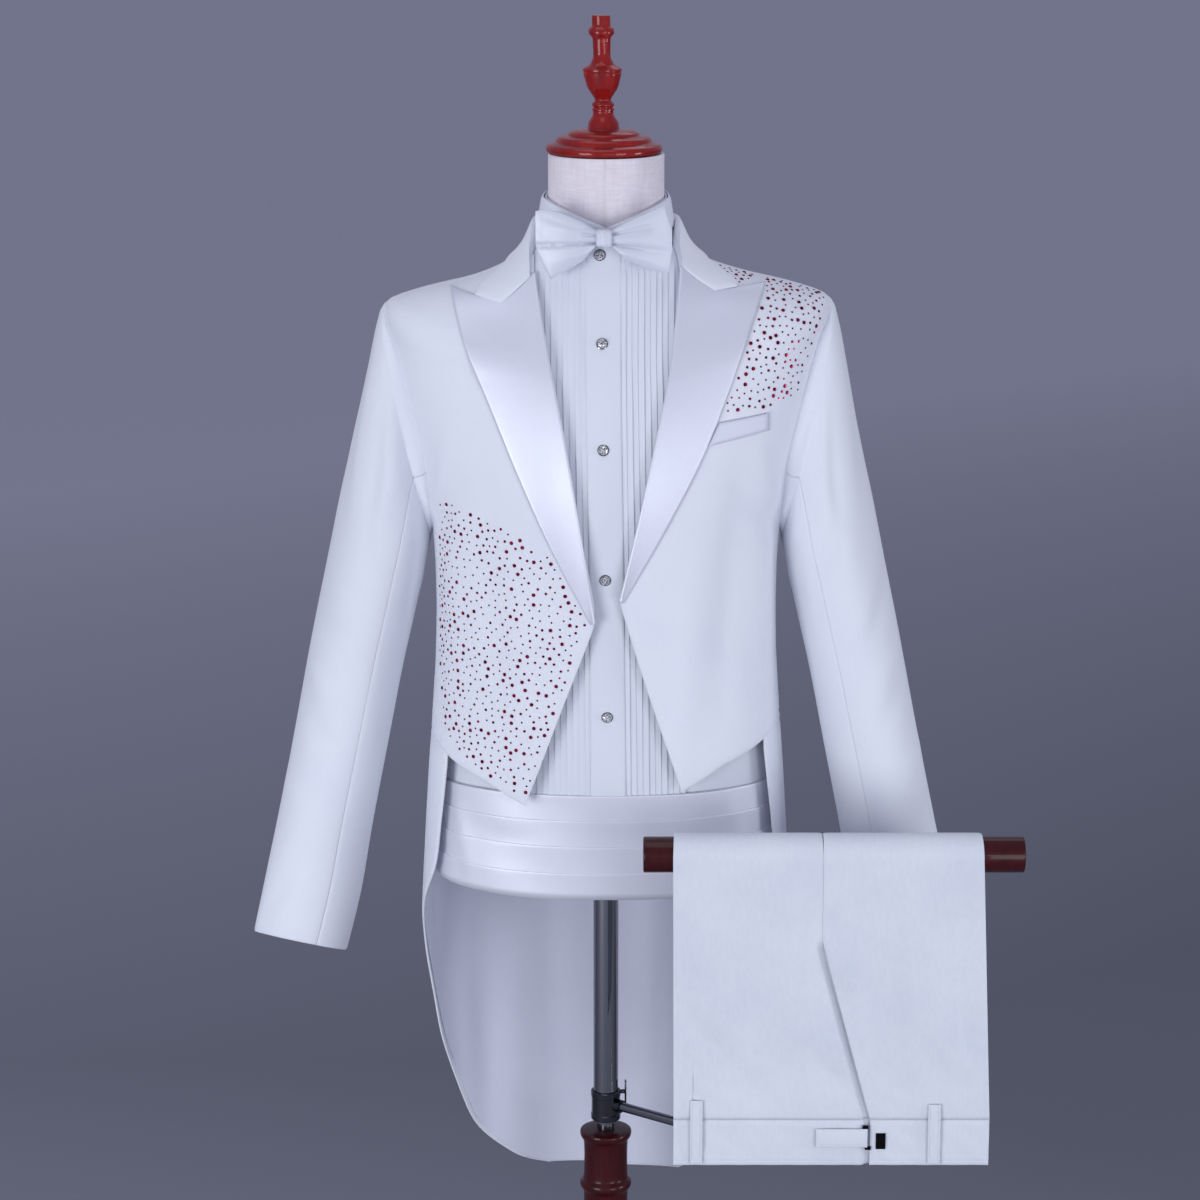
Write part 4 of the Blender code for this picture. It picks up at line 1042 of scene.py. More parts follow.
def breast_pocket():
    """The welt of the breast pocket, which stands a little off the front."""
    over, up = spread(26, 0.03)[None, :, None], spread(8, 0.08)[:, None, None]
    low = WELT[0] * (1 - over) + WELT[1] * over
    high = WELT[3] * (1 - over) + WELT[2] * over
    places = (low * (1 - up) + high * up) * MM
    x, z = places[..., 0], places[..., 1]
    angle, height = find(x, z)
    flat = on_coat(angle, height)
    out = 3.0 * MM + 1.7 * creases(flat[..., 0] / MM, flat[..., 2] / MM, FRONT_CREASES[RIGHT])
    out = out + turned_edge(stacked(x, 0, z), 1.8 * MM, 1.5 * MM, sides=(1, 0, 1, 1))
    out = out + turned_edge(stacked(x, 0, z), 0.7 * MM, 0.9 * MM, sides=(0, 1, 0, 0))
    cloth(
        "pocket_welt", on_front(x, z, out), 1.6 * MM, WELT_CLOTH, "satin", ["breast_pocket_welt"],
        on="coat_front_cloth_right",
    )


for hand in (RIGHT, LEFT):
    coat_front(hand)
    coat_back(hand)
    sleeve(hand, "sleeve_top", -SLEEVE_SEAM, SLEEVE_SEAM, 62)
    sleeve(hand, "sleeve_under", SLEEVE_SEAM, 360 - SLEEVE_SEAM, 42)
    lapel(hand)
coat_collar()
breast_pocket()

# ---------------------------------------------------------------- the shirt


SHIRT_FOOT, SHIRT_TOP, PLEATS_FOOT = 0.872, 1.493, 0.95
NECK_TILT = 0.012  # how far the neck's rings lie lower in front than at the side


def neckline(points, angle):
    """The body of the shirt with the rows that draw it in to the collar stand."""
    a, last = np.radians(angle[-1]), points[-1]
    seam = stacked(59.7 * MM * np.sin(a), -59.7 * MM * np.cos(a), 1.489 - NECK_TILT * np.cos(a))
    rows = [last + (seam - last) * k + (0, 0, 1.5 * MM * math.sin(math.pi * k)) for k in (0.4, 0.8, 1)]
    return np.concatenate((points, np.array(rows)))


def shirt_body():
    """The plain fronts and the back, cut out at the armholes."""
    heights = np.linspace(SHIRT_FOOT, SHIRT_TOP, 60)[:, None]
    inside = (heights > ARMPIT) & (heights < SHOULDER_TIP)
    cut = np.where(inside, np.sin(armhole_turn(heights)), 0)
    for side in (RIGHT, LEFT):
        end = 90 - cut * (ARMHOLE_FRONT + 3)
        angle = end * np.linspace(0, 1, 34)[None, :]
        points = neckline(layer(angle, heights, side_ease(angle, heights)), angle)
        cloth(
            f"shirt_front_cloth_{word(side)}", for_side(points, side), SHIRT_CLOTH, SHIRTING, "shirting",
            [f"shirt_front_{word(side)}"],
        )
    start = 90 + cut * (ARMHOLE_BACK + 3)
    angle = start + (360 - 2 * start) * np.linspace(0, 1, 60)[None, :]
    points = neckline(layer(angle, heights, side_ease(angle, heights)), angle)
    cloth("shirt_back_cloth", points, SHIRT_CLOTH, SHIRTING, "shirting", ["shirt_back"])


PLACKET_HALF, PLEAT_PITCH, PLEATS = 16 * MM, 5.7 * MM, 10
# Across one knife pleat, away from the placket: share of the pitch, share of the rise.
PLEAT = ((0.03, 0.0), (0.2, 0.14), (0.45, 0.4), (0.7, 0.7), (0.9, 0.97), (0.97, 1.0), (0.995, 0.85))
# The placket leans a little: height, x.
CENTRE_LINE = ((960, 2.0), (1038, 1.5), (1180, 0.2), (1306, -1.4), (1404, -2.4), (1500, -2.6))


def centre_x(height):
    return read_off(CENTRE_LINE, height)


def shirt_pleats(side):
    """Ten knife pleats beside the placket, which run on up over the collar stand."""
    first = PLACKET_HALF - 1 * MM
    across, rise = [first - 3 * MM], [0.0]
    for k in range(PLEATS):
        for share, high in PLEAT:
            across.append(first + (k + share) * PLEAT_PITCH)
            rise.append(high)
    across, rise = np.array(across + [first + PLEATS * PLEAT_PITCH]), np.array(rise + [0.0])
    top_row = 1.4935
    heights = np.linspace(PLEATS_FOOT, top_row, 90)[:, None]
    narrow = np.interp(heights, (1.40, 1.48), (1, 0.96))
    number = np.floor((across - first) / PLEAT_PITCH)
    waver = 0.2 * MM * np.sin(heights * 23 + number[None, :] * 1.9) * np.sin(heights * 9 + number * 0.7)
    x = first + (across[None, :] - first) * narrow + waver * (across > first + 1 * MM)
    open_ = 0.8 + 0.3 * np.sin(heights * 14 + number[None, :] * 2.3)
    clear = np.interp(heights, (1.43, 1.48), (0.9, 2.2)) * MM
    x = x + side * centre_x(heights)
    fade = np.interp(heights, (1.484, top_row), (1, 0.1))
    points = on_shirt(x, heights, clear * fade + rise[None, :] * open_ * fade * 1.35 * MM)
    top = points[-1]
    round_neck = top * (1, 1, 0) / np.linalg.norm(top[:, :2], axis=1)[:, None]
    fold = 0.5 * rise[:, None]
    for up, radius in ((2, 62.6), (5, 61.0), (13, 60.5), (19, 60.4)):
        over_stand = round_neck * (radius + fold) * MM + top * (0, 0, 1) + (0, 0, up * MM)
        points = np.concatenate((points, over_stand[None]))
    cloth(
        f"shirt_pleats_cloth_{word(side)}", for_side(points, side), 0.5 * MM, SHIRTING, "shirting",
        [f"shirt_pleats_{word(side)}"], on=f"shirt_front_cloth_{word(side)}", smooth=35,
    )


def shirt_placket():
    """The strip that the studs close, with a row of stitches along each edge."""
    heights = np.linspace(PLEATS_FOOT, 1.486, 90)[:, None]
    across = PLACKET_HALF * (2 * spread(20, 0.04) - 1)[None, :]
    x = across + centre_x(heights)
    out = 2.7 * MM + 0.3 * MM * np.sin(heights * 31) * np.sin(x * 160 + heights * 8)
    edge = turned_edge(on_shirt(x, heights, out), 0.7 * MM, 1.2 * MM)
    stitched = -0.2 * MM * bell((np.abs(across) - 12.6 * MM) / (0.6 * MM))
    points = on_shirt(x, heights, out + edge + stitched)
    over = x[-1]  # above the neckline it runs on over the collar stand
    for z, radius in ((1.4755, 62.9), (1.481, 62.2), (1.49, 61.7), (1.50, 61.4), (1.504, 61.2)):
        up = stacked(over, -np.sqrt((radius * MM) ** 2 - over**2) - edge[-1] * 0.4, z)
        points = np.concatenate((points, up[None]))
    cloth(
        "shirt_placket_cloth", points, 0.9 * MM, SHIRTING, "shirting", ["shirt_placket"],
        on="shirt_front_cloth_right",
    )


def ring_points(radius, height, start, end, columns):
    """A ring round the neck, from the radius and the height at each angle."""
    a = np.radians(np.linspace(start, end, columns))
    return stacked(radius(a) * np.sin(a), -radius(a) * np.cos(a), height(a))


def shirt_collar():
    """The stand round the neck, whose ends lap, and the leaf turned down over it."""
    def top(a):
        front = 1.512 + 0.023 * np.abs(np.sin(a))
        return np.where(np.cos(a) > 0, front, 1.535 - 0.008 * np.cos(a))

    def foot(a):
        return 1.484 - NECK_TILT * np.cos(a)

    stand = []
    for t in np.linspace(0, 1, 10):
        stand.append(ring_points(
            lambda a: (59 + 1.2 * part_way(a, 6.1, 0.15)) * MM,
            lambda a, k=t: foot(a) + (top(a) - foot(a)) * k, 0, 372, 120,
        ))
    cloth("collar_stand_cloth", np.array(stand), 1.0 * MM, SHIRTING, "shirting", ["shirt_collar_stand"])
    leaf = []
    shape = (
        (0.028, 66.6), (0.0272, 66.7), (0.022, 66.3), (0.014, 65.0), (0.007, 64.0), (0.003, 63.2),
        (0.0004, 62.0), (-0.0002, 60.8),
    )
    for down, radius in shape:
        leaf.append(ring_points(
            lambda a, r=radius: (r + 0.5 * np.sin(a * 3 + 1)) * MM,
            lambda a, d=down: top(a) - d + 0.009 * np.maximum(0, np.cos(a)) ** 4 * (d > 0.02),
            2, 358, 100,
        ))
    cloth(
        "collar_leaf_cloth", np.array(leaf), 1.0 * MM, SHIRTING, "shirting", ["shirt_collar_leaf"],
        on="collar_stand_cloth",
    )


shirt_body()
shirt_pleats(RIGHT)
shirt_pleats(LEFT)
shirt_placket()
shirt_collar()

# ---------------------------------------------------------------- bow tie and cummerbund

BOW_KNOT = (-2.4 * MM, 1.505)
BOW_DEPTH = -79 * MM
BOW_REACH, BOW_TALL = (7, 65), 0.066
# distance from the knot, lower and upper z, half thickness
BOW = {
    LEFT: (
        (7, 1498, 1512, 5), (20, 1482.5, 1520, 7), (36, 1473, 1527, 8), (50.6, 1465.3, 1531, 7.5),
        (58, 1479, 1531.5, 6.5), (65, 1496, 1530, 3.5),
    ),
    RIGHT: (
        (7, 1498, 1512, 5), (20, 1484.5, 1518.7, 7), (38, 1476, 1527, 8), (57.8, 1471, 1535, 7),
        (62, 1471.6, 1522, 5.5), (65, 1487, 1514, 3),
    ),
}
# Folds that run out of the knot: reach and z at both ends, half width at both ends, height.
BOW_FOLDS = {
    LEFT: (
        (5, 1499.8, 70, 1496.8, 1.0, 2.2, -5.2), (5, 1507, 20, 1508.6, 0.8, 2.0, -4.2),
        (9, 1510, 60, 1517, 4, 9, 2.0), (12, 1492.5, 50, 1482, 3.5, 7, 1.8),
        (24, 1514, 58, 1524, 2.5, 4, -1.0),
    ),
    RIGHT: (
        (5, 1499.0, 32, 1495.5, 0.9, 1.5, -5.6), (28, 1496, 66, 1490, 2.2, 4.5, -1.6),
        (5, 1507.5, 42, 1515.0, 0.9, 3.4, -4.6), (12, 1503, 60, 1504, 3.2, 9, 2.0),
        (20, 1490, 56, 1478, 3, 6, 1.4),
    ),
}


def bow_wing(side):
    """A wing of the bow: a flattened loop of satin, pinched at the knot."""
    rows = np.array(BOW[side], float)
    near, far = BOW_REACH
    reach = np.unique(np.concatenate((np.linspace(near, far, 52), rows[:, 0])))
    low, high = (np.interp(reach, rows[:, 0], rows[:, k])[:, None] for k in (1, 2))
    thick = curve_through(rows[:, (0, 3)], reach)[:, 1:]
    a = np.linspace(0, 2 * math.pi, 144, endpoint=False)[None, :]
    out = ((reach - near) / (far - near))[:, None]
    c, s = np.cos(a), -np.sin(a)
    up = np.sign(s) * np.abs(s) ** 0.8
    z = (low + high) / 2 + (high - low) / 2 * up
    depth = np.sign(c) * np.abs(c) ** 0.55 * thick
    depth = depth * (0.55 + 0.45 * np.sin(math.pi * np.clip(out + 0.12, 0, 1)))
    for r0, z0, r1, z1, wide0, wide1, tall in BOW_FOLDS[side]:
        t = part_way(reach, r0, r1 - r0)[:, None]
        past = np.maximum(reach - r1, 0)[:, None] / 4
        across = (z - z0 - (z1 - z0) * t) / (wide0 + (wide1 - wide0) * t)
        depth = depth + np.clip(c * 4, 0, 1) * tall * (1 - 0.6 * t) * np.exp(-(across**2) - past**2)
    y = BOW_DEPTH / MM - depth * 0.8 + 0.05 * reach[:, None]
    x = side * reach[:, None] + BOW_KNOT[0] / MM
    points = stacked(x, y, z) * MM
    if side == LEFT:
        points = points[:, ::-1]
    faces = capped_tube(*points.shape[:2])
    piece = woven(f"bow_wing_satin_{word(side)}", points, faces, BOW_SATIN, 60)
    riding(piece, "satin", f"bow_wing_{word(side)}")
    one_layer = sheet_area(np.concatenate((points, points[:, :1]), 1)) / 2


def block(name, size, place, bevel, segments, finish):
    """A box with eased edges, in mm."""
    bpy.ops.mesh.primitive_cube_add(size=1, location=[value * MM for value in place])
    piece = bpy.context.object
    piece.name = name
    piece.scale = [value * MM for value in size]
    bpy.ops.object.transform_apply()
    applied(piece, "BEVEL", width=bevel * MM, segments=segments, limit_method="NONE")
    piece.data.materials.append(finish)
    return piece


def bow_knot():
    """The knot, drawn in at its waist, with two folds down its front."""
    x, z = BOW_KNOT
    place = (x / MM, BOW_DEPTH / MM - 1.5, z / MM)
    knot = block("bow_knot_satin", (17.4, 17, 17), place, 4.6, 3, BOW_SATIN)
    applied(knot, "SUBSURF", levels=3, render_levels=3)
    for vertex in knot.data.vertices:
        side = (vertex.co.x - x) / (8 * MM)
        level = (vertex.co.z - z) / (8 * MM)
        vertex.co.x *= 1 - 0.10 * (1 - level**2)
        front = vertex.co.y < BOW_DEPTH - 4 * MM
        fold = bell((side + 0.34 + 0.1 * level) / 0.16) + 0.8 * bell((side - 0.4) / 0.15)
        vertex.co.y += (0.45 * fold + 0.8 * level) * MM * front
    knot.data.uv_layers[0].name = "cloth"
    bpy.ops.object.shade_smooth()
    riding(knot, "satin", "bow_knot")


def bow_band():
    """The band of the bow tie round the collar stand."""
    rows = []
    for k in (0, 0.8, 3, 7.5, 12, 14.2, 15):
        inset = 0.5 if k in (0, 15) else 0
        rows.append(ring_points(
            lambda a, i=inset: (62.3 - i) * MM,
            lambda a, up=k: 1.504 - 0.009 * np.cos(a) + up * MM, 9, 351, 100,
        ))
    cloth(
        "bow_band_satin", np.array(rows), 1.0 * MM, BOW_SATIN, "satin", ["bow_band"],
        on="collar_stand_cloth",
    )


# The heights of its folds, how far it lies outside the coat's surface, and how far round it goes.
CUMMERBUND = (0.8472, 0.8746, 0.9026, 0.9294, 0.9553)
CUMMERBUND_OUT, CUMMERBUND_HALF = -17.2 * MM, 100
CUMMERBUND_CREASES = (
    (-150, 952, -120, 862, 10, 1.2), (-60, 950, -20, 900, 12, -0.9), (40, 944, 80, 876, 11, 0.9),
    (120, 950, 150, 870, 9, -1.2), (-110, 905, -40, 912, 6, -0.8), (10, 885, 90, 893, 6, 0.7),
)
# Across one pleat, from its lower fold: share of its height, share of its rise.
BAND_PLEAT = ((0.0, 0.0), (0.25, 0.16), (0.55, 0.42), (0.8, 0.72), (0.94, 0.98), (0.985, 1.0), (0.999, 0.8))


def cummerbund():
    """Four pleats that open upwards, and the strap behind."""
    angle = (2 * spread(120, 0.01) - 1)[None, :] * CUMMERBUND_HALF
    levels, rise = [], []
    for low, high in zip(CUMMERBUND, CUMMERBUND[1:]):
        for share, up in BAND_PLEAT:
            levels.append(low + (high - low) * share)
            rise.append(up)
    level = np.array(levels + [CUMMERBUND[-1] + 0.0006])[:, None]
    rise = np.array(rise + [-1.5])[:, None]
    share = np.abs(angle / CUMMERBUND_HALF) ** 3
    drop = (CUMMERBUND[-1] - level) / (CUMMERBUND[-1] - CUMMERBUND[0])
    height = level + 0.016 * share * drop
    wave = 0.5 * MM * np.sin(angle / 9 + level * 90) * np.sin(angle / 23)
    full = part_way(np.abs(angle), 40, 45)
    out = CUMMERBUND_OUT + 6 * MM * soft(full) + rise * 1.4 * MM + wave
    points = layer(angle, height, out + creases(angle * 2.4, height / MM, CUMMERBUND_CREASES))
    cloth(
        "cummerbund_satin", points, 0.9 * MM, BAND_SATIN, "satin", ["cummerbund"],
        on="shirt_front_cloth_right", smooth=40,
    )
    angle = np.linspace(CUMMERBUND_HALF, 360 - CUMMERBUND_HALF, 90)[None, :]
    height = (0.886 + 0.034 * spread(8, 0.06))[:, None]
    off = np.clip((190 - angle) * (angle - 170) / -400 + 1, 0, 1)
    points = layer(angle, height, CUMMERBUND_OUT + 6 * MM * off)
    cloth(
        "cummerbund_strap_satin", points, 1.2 * MM, BAND_SATIN, "satin", ["cummerbund_strap"],
        on="shirt_back_cloth",
    )


bow_wing(RIGHT)
bow_wing(LEFT)
bow_knot()
bow_band()
cummerbund()

# ---------------------------------------------------------------- the trousers

BAR_RADIUS, BAR_Y, BAR_Z = 17.3 * MM, -0.19, 0.9262
BAR_ENDS = (0.0354, 0.4009)
LEG_CLOTH, LEG_GAP, WAISTBAND_CLOTH = 3.0 * MM, 0.6 * MM, 3.4 * MM
BEND, HEM = 0.66, 0.915  # behind the bar a leg goes down to the bend and up again to its hem
WAIST_SEAM, WAIST_EDGE = 0.6616, 0.6146
CROTCH = (0.2073, 0.8466)
FLY_FOOT = 0.2568
TROUSER_SIDES = (0.0638, 0.3609, 0.0654, 0.3729)
HEM_SIDES = {LEFT: (0.085, 0.197), RIGHT: (0.218, 0.340)}
FACE = BAR_Y - BAR_RADIUS - LEG_GAP - LEG_CLOTH
TROUSER_CREASES = (
    (98, 930, 92, 700, 13, 2.0),
    (134, 935, 142, 690, 14, -2.6),
    (186, 930, 176, 740, 11, 2.0),
    (244, 935, 250, 740, 12, -1.8),
    (292, 930, 300, 690, 15, 2.4),
    (340, 935, 346, 700, 11, -2.2),
    (80, 770, 140, 690, 12, -1.8),
    (300, 780, 352, 700, 12, 1.6),
    (200, 730, 236, 690, 10, -1.6),
    (212, 850, 236, 790, 6, 1.8),
)


def fly_x(z):
    return np.interp(z, (WAIST_EDGE, WAIST_SEAM, CROTCH[1]), (FLY_FOOT, FLY_FOOT, CROTCH[0]))


def across_leg(side, z, share, sunk):
    """x, and how far the cloth lies back, at these shares across the front of a leg at height z."""
    down = part_way(z, BAR_Z, WAIST_SEAM - BAR_Z)
    left = TROUSER_SIDES[0] + (TROUSER_SIDES[2] - TROUSER_SIDES[0]) * down
    right = TROUSER_SIDES[1] + (TROUSER_SIDES[3] - TROUSER_SIDES[1]) * down
    fly = fly_x(z)
    if side == RIGHT:
        x = fly + (right - fly) * share
        return x, 0 * x
    below = np.maximum(0, CROTCH[1] - z)
    under = 7 * MM * part_way(below, 12 * MM, 18 * MM)
    x = left + (fly + under - left) * share
    near = part_way(x, fly - 9 * MM, 8 * MM)
    return x, (sunk + 1.2 * MM) * part_way(below, 0, 10 * MM) * soft(near)


def trouser_leg(side):
    """A folded leg: up from the waist seam, over the bar, down behind it and up again to the hem."""
    radius = BAR_RADIUS + LEG_GAP + LEG_CLOTH
    pocket = (0.066, 0.07, 0.074, 0.078, 0.082, 0.086, 0.09, 0.094, 0.098)
    share = np.unique(np.concatenate((spread(70), pocket)))[None, :]
    z = np.linspace(WAIST_SEAM, BAR_Z, 64)[:, None]
    x, back = across_leg(side, z, share, LEG_CLOTH + 0.4 * MM)
    y = BAR_Y - radius + back - 1.9 * creases(x / MM, z / MM, TROUSER_CREASES) * part_way(z, BAR_Z, -0.05)
    if side == RIGHT:  # the fly's edge gapes a little
        gape = part_way(z, CROTCH[1], -0.03) * part_way(z, WAIST_SEAM, 0.03)
        y = y - 2.2 * MM * gape * np.exp(-((x - fly_x(z)) / (14 * MM)))
    else:  # the slanted pocket mouth near the side seam
        mouth = part_way(z, 0.664, 0.01) * part_way(z, 0.748, -0.01)
        across = (x - 0.0850 - (z - 0.7) * 0.02) / MM
        y = y + (1.8 * bell(across / 0.9) - 1.0 * bell((across + 4) / 3)) * MM * mouth
    front = stacked(x, y, z)
    turn = LEG_CLOTH + 0.5 * MM
    over_bar = np.radians(np.linspace(9, 180, 20))
    path = [(BAR_Y - radius * math.cos(a), BAR_Z + radius * math.sin(a)) for a in over_bar]
    path += [(BAR_Y + radius, level) for level in np.linspace(BAR_Z - 0.006, BEND, 34)]
    for a in np.radians(np.linspace(15, 165, 11)):
        path.append((BAR_Y + radius + turn * (1 - math.cos(a)), BEND - turn * math.sin(a)))
    path += [(BAR_Y + radius + 2 * turn, level) for level in np.linspace(BEND, HEM, 34)]
    path = np.array(path)
    lengths = run(np.linalg.norm(np.diff(path, axis=0), axis=1))
    gone = (lengths / lengths[-1])[:, None]
    top, hem = x[-1], HEM_SIDES[side]
    low = top[0] + (hem[0] - top[0]) * gone
    high = top[-1] + (hem[1] - top[-1]) * gone
    xs = low + (high - low) * (top - top[0])[None, :] / (top[-1] - top[0])
    points = np.concatenate((front, stacked(xs, path[:, :1], path[:, 1:])))
    meeting = np.ones((len(points), 1))
    meeting[:len(z)] = np.interp(z, (CROTCH[1] - 0.01, CROTCH[1] + 0.03), (1, 0.25))
    dip = turned_edge(points, 0.7 * MM, sides=(1, 1, 1, side == RIGHT))
    under_fly = turned_edge(points, 0.7 * MM, sides=(0, 0, 0, side == LEFT))
    dip = np.minimum(dip, under_fly * meeting)
    points = points + normals(points) * dip[..., None]
    cloth(
        f"trouser_leg_cloth_{word(side)}", points, 2.6 * MM, TROUSERING, "suiting",
        [f"trouser_leg_{word(side)}"], on="trouser_bar",
    )


def waistband(side):
    """Half of the waistband, with a row of stitches along both edges."""
    z = (WAIST_EDGE + (WAIST_SEAM - 0.2 * MM - WAIST_EDGE) * spread(44, 0.03))[:, None]
    x, back = across_leg(side, z, spread(60)[None, :], WAISTBAND_CLOTH + 0.4 * MM)
    ripple = 0.35 * MM * np.sin(x * 210 + z * 60) * np.sin(z * 180)
    points = stacked(x, FACE + back + ripple, z)
    rows = ((z - WAIST_EDGE - 4.5 * MM) / (0.7 * MM), (z - WAIST_SEAM + 3 * MM) / (0.7 * MM))
    points[..., 1] += 0.5 * MM * (bell(rows[0]) + bell(rows[1])) - turned_edge(points)
    cloth(
        f"waistband_cloth_{word(side)}", points, 2.9 * MM, TROUSERING, "suiting",
        [f"waistband_{word(side)}"], on=f"trouser_leg_cloth_{word(side)}",
    )


def strip(name, left, right, low, high, lift, node, sag=0.0):
    """A flat tab or loop of suiting that stands on the waistband."""
    x = (left + (right - left) * spread(14, 0.06))[None, :] * MM
    z = (low + (high - low) * spread(22, 0.04))[:, None] * MM
    bow = sag * np.sin(math.pi * (z / MM - low) / (high - low))
    points = stacked(x, FACE - (lift + bow) * MM, z)
    points[..., 1] -= turned_edge(points, 0.7 * MM, 0.9 * MM)
    wide = np.minimum(np.abs(x / MM - left), np.abs(right - x / MM))
    tall = np.minimum(np.abs(z / MM - low), np.abs(high - z / MM))
    points[..., 1] += 0.8 * MM * bell((np.minimum(wide, tall) - 2.0) / 0.5)  # the row of stitches
    cloth(name, points, 1.3 * MM, TROUSERING, "suiting", [node], on="waistband_cloth_left")


for hand in (LEFT, RIGHT):
    trouser_leg(hand)
    waistband(hand)
strip("belt_loop_cloth_left", 81.6, 93.6, 617, 683, 3.0, "belt_loop_left", 1.2)
strip("belt_loop_cloth_right", 313, 325, 617, 679, 3.0, "belt_loop_right", 1.2)
strip("waist_tab_cloth", 204, 254.2, 634.6, 653.6, 3.8, "waist_tab", 0.8)

# ---------------------------------------------------------------- the form and its stand


def lathe(name, profile, finish, slot, node):
    """A turning: its profile of radius and height, in mm, is spun about the upright axis."""
    bpy.ops.mesh.primitive_plane_add(size=1)
    piece = bpy.context.object
    piece.name = name
    mesh = bmesh.new()
    knots = [mesh.verts.new((r * MM, 0, z * MM)) for r, z in profile]
    for a, b in zip(knots, knots[1:]):
        mesh.edges.new((a, b))
    mesh.to_mesh(piece.data)
    mesh.free()
    only(piece)
    bpy.ops.object.mode_set(mode="EDIT")
    bpy.ops.mesh.select_all(action="SELECT")
    bpy.ops.mesh.spin(steps=72, angle=2 * math.pi, center=(0, 0, 0), axis=(0, 0, 1))
    bpy.ops.mesh.select_all(action="SELECT")
    bpy.ops.mesh.remove_doubles(threshold=0.00004)
    bpy.ops.mesh.normals_make_consistent(inside=False)
    bpy.ops.object.mode_set(mode="OBJECT")
    piece.data.materials.append(finish)
    smoothed(38)
    return riding(piece, slot, node)


def rounded(profile, rounds=2, share=0.25):
    """The profile with its corners cut, so many rounds of it."""
    points = [np.array(p, float) for p in profile]
    for _ in range(rounds):
        eased = [points[0]]
        for a, b, c in zip(points, points[1:], points[2:]):
            eased += [b + (a - b) * share, b + (c - b) * share]
        eased.append(points[-1])
        points = eased
    return points


FINIAL = (
    (0, 1708.5), (8.3, 1708.5), (8.8, 1708), (9, 1698.6), (9.5, 1697.6), (12.3, 1695.4), (12.5, 1691.2),
    (9.2, 1687.4), (8.8, 1686), (8.2, 1669),
    (12, 1661.2), (18.6, 1658.2), (18.9, 1655.7), (17.9, 1654.4), (18.7, 1653.2), (17.6, 1649.2),
    (15, 1639.5), (8, 1629), (7.8, 1627), (10.8, 1624.3), (10.8, 1622.4), (9.3, 1621.1),
    (10.8, 1619.3), (9.8, 1616.3), (10.6, 1612.2), (14.5, 1607.2), (15.2, 1600.8), (16, 1599.8),
    (29, 1598.8), (34, 1596.4), (35, 1593.8), (44, 1592.7), (46, 1590.3), (46.5, 1587.4),
    (54.8, 1585.4), (56.5, 1582.4), (56, 1578.8), (54.6, 1577.8), (0, 1577.6),
)
COLUMN = (
    (0, 565.5), (25.5, 565), (27, 562), (26, 557), (22.4, 554), (22.4, 514), (23.5, 511), (26.6, 508),
    (26.6, 502), (23.5, 499), (22.6, 494), (22.6, 420), (27, 300), (31, 190), (24, 90), (27, 70), (27, 60),
    (44, 34), (0, 33.7),
)
BASE = ((0, 33.3), (60, 33), (70, 27), (168, 21), (188, 14), (190, 5), (188, 0), (0, 0))
POLE = ((0, 861.2), (12.8, 861), (12.8, 574.6), (9, 574), (9, 565.9), (0, 565.8))
CLAMP = (
    (13.2, 608), (14.6, 608), (15.4, 607.2), (15.4, 602), (14.8, 601.4), (14.8, 583), (15.4, 582.4),
    (15.4, 577.3), (14.6, 576.5), (13.2, 576.5), (13.2, 608),
)

finial = lathe("finial_turned", rounded(FINIAL, 1, 0.15), RED_WOOD, "red_wood", "finial")
for vertex in finial.data.vertices:  # it leans a little to the viewer's left
    vertex.co.x -= 2 * MM + 0.023 * (vertex.co.z - 1.5776)
lathe("column_turned", rounded(COLUMN), DARK_WOOD, "dark_wood", "column")
lathe("foot_turned", rounded(BASE[:-2]) + list(BASE[-2:]), DARK_WOOD, "dark_wood", "base")
lathe("pole_tube", POLE, CHROME, "chrome", "pole")
lathe("clamp_ring", CLAMP, DARK_CHROME, "chrome", "pole_clamp")


def tube_of(name, points, radius, finish, nodes, resolution=6):
    """A round bar of metal along a path."""
    curve = bpy.data.curves.new(name, "CURVE")
    curve.dimensions = "3D"
    curve.bevel_depth = radius
    curve.bevel_resolution = resolution
    curve.use_fill_caps = True
    spline = curve.splines.new("POLY")
    spline.points.add(len(points) - 1)
    for knot, point in zip(spline.points, points):
        knot.co = (*point, 1)
    curve.materials.append(finish)
    piece = linked(name, curve)
    bpy.ops.object.convert(target="MESH")
    smoothed(40)
    riding(piece, "chrome", *nodes)


# The arm's way from the clamp to the middle of the bar.
ARM = (
    (14, -11, 594), (60, -47, 595), (110, -88, 597), (160, -135, 601), (196, -168, 609),
    (212, -185, 623), (216, -190, 644), (216, -190, 780), (216, -190, 907),
)


def smooth_path(points, steps):
    """The path on one smooth curve through its points."""
    points = np.array(points, float) * MM
    path = []
    for i in range(len(points) - 1):
        a, b = points[i], points[i + 1]
        before, after = points[max(i - 1, 0)], points[min(i + 2, len(points) - 1)]
        for t in np.arange(steps) / steps:
            path.append(0.5 * (
                2 * a + (b - before) * t + (2 * before - 5 * a + 4 * b - after) * t**2
                + (3 * a - before - 3 * b + after) * t**3
            ))
    path.append(points[-1])
    return path


tube_of("arm_tube", smooth_path(ARM, 6), 5 * MM, CHROME, ["bar_arm"])


def clamp_lug():
    """The clamp's lug, which holds the arm, and the flat head of its screw."""
    for name, aim, level, near, far, radius in (
        ("clamp_lug", (14, -11, 0), 594, 13, 21, 6.8),
        ("clamp_screw_shank", (1, 0.25, 0), 604, 13.5, 20, 2.2),
    ):
        ends = [(Vector(aim).normalized() * reach + Vector((0, 0, level))) * MM for reach in (near, far)]
        tube_of(name, ends, radius * MM, DARK_CHROME, [], 5)
    head = block("clamp_screw_head", (2, 9, 27), (20.5, 5, 602), 0.9, 2, DARK_CHROME)
    smoothed(40)
    riding(head, "chrome")


clamp_lug()


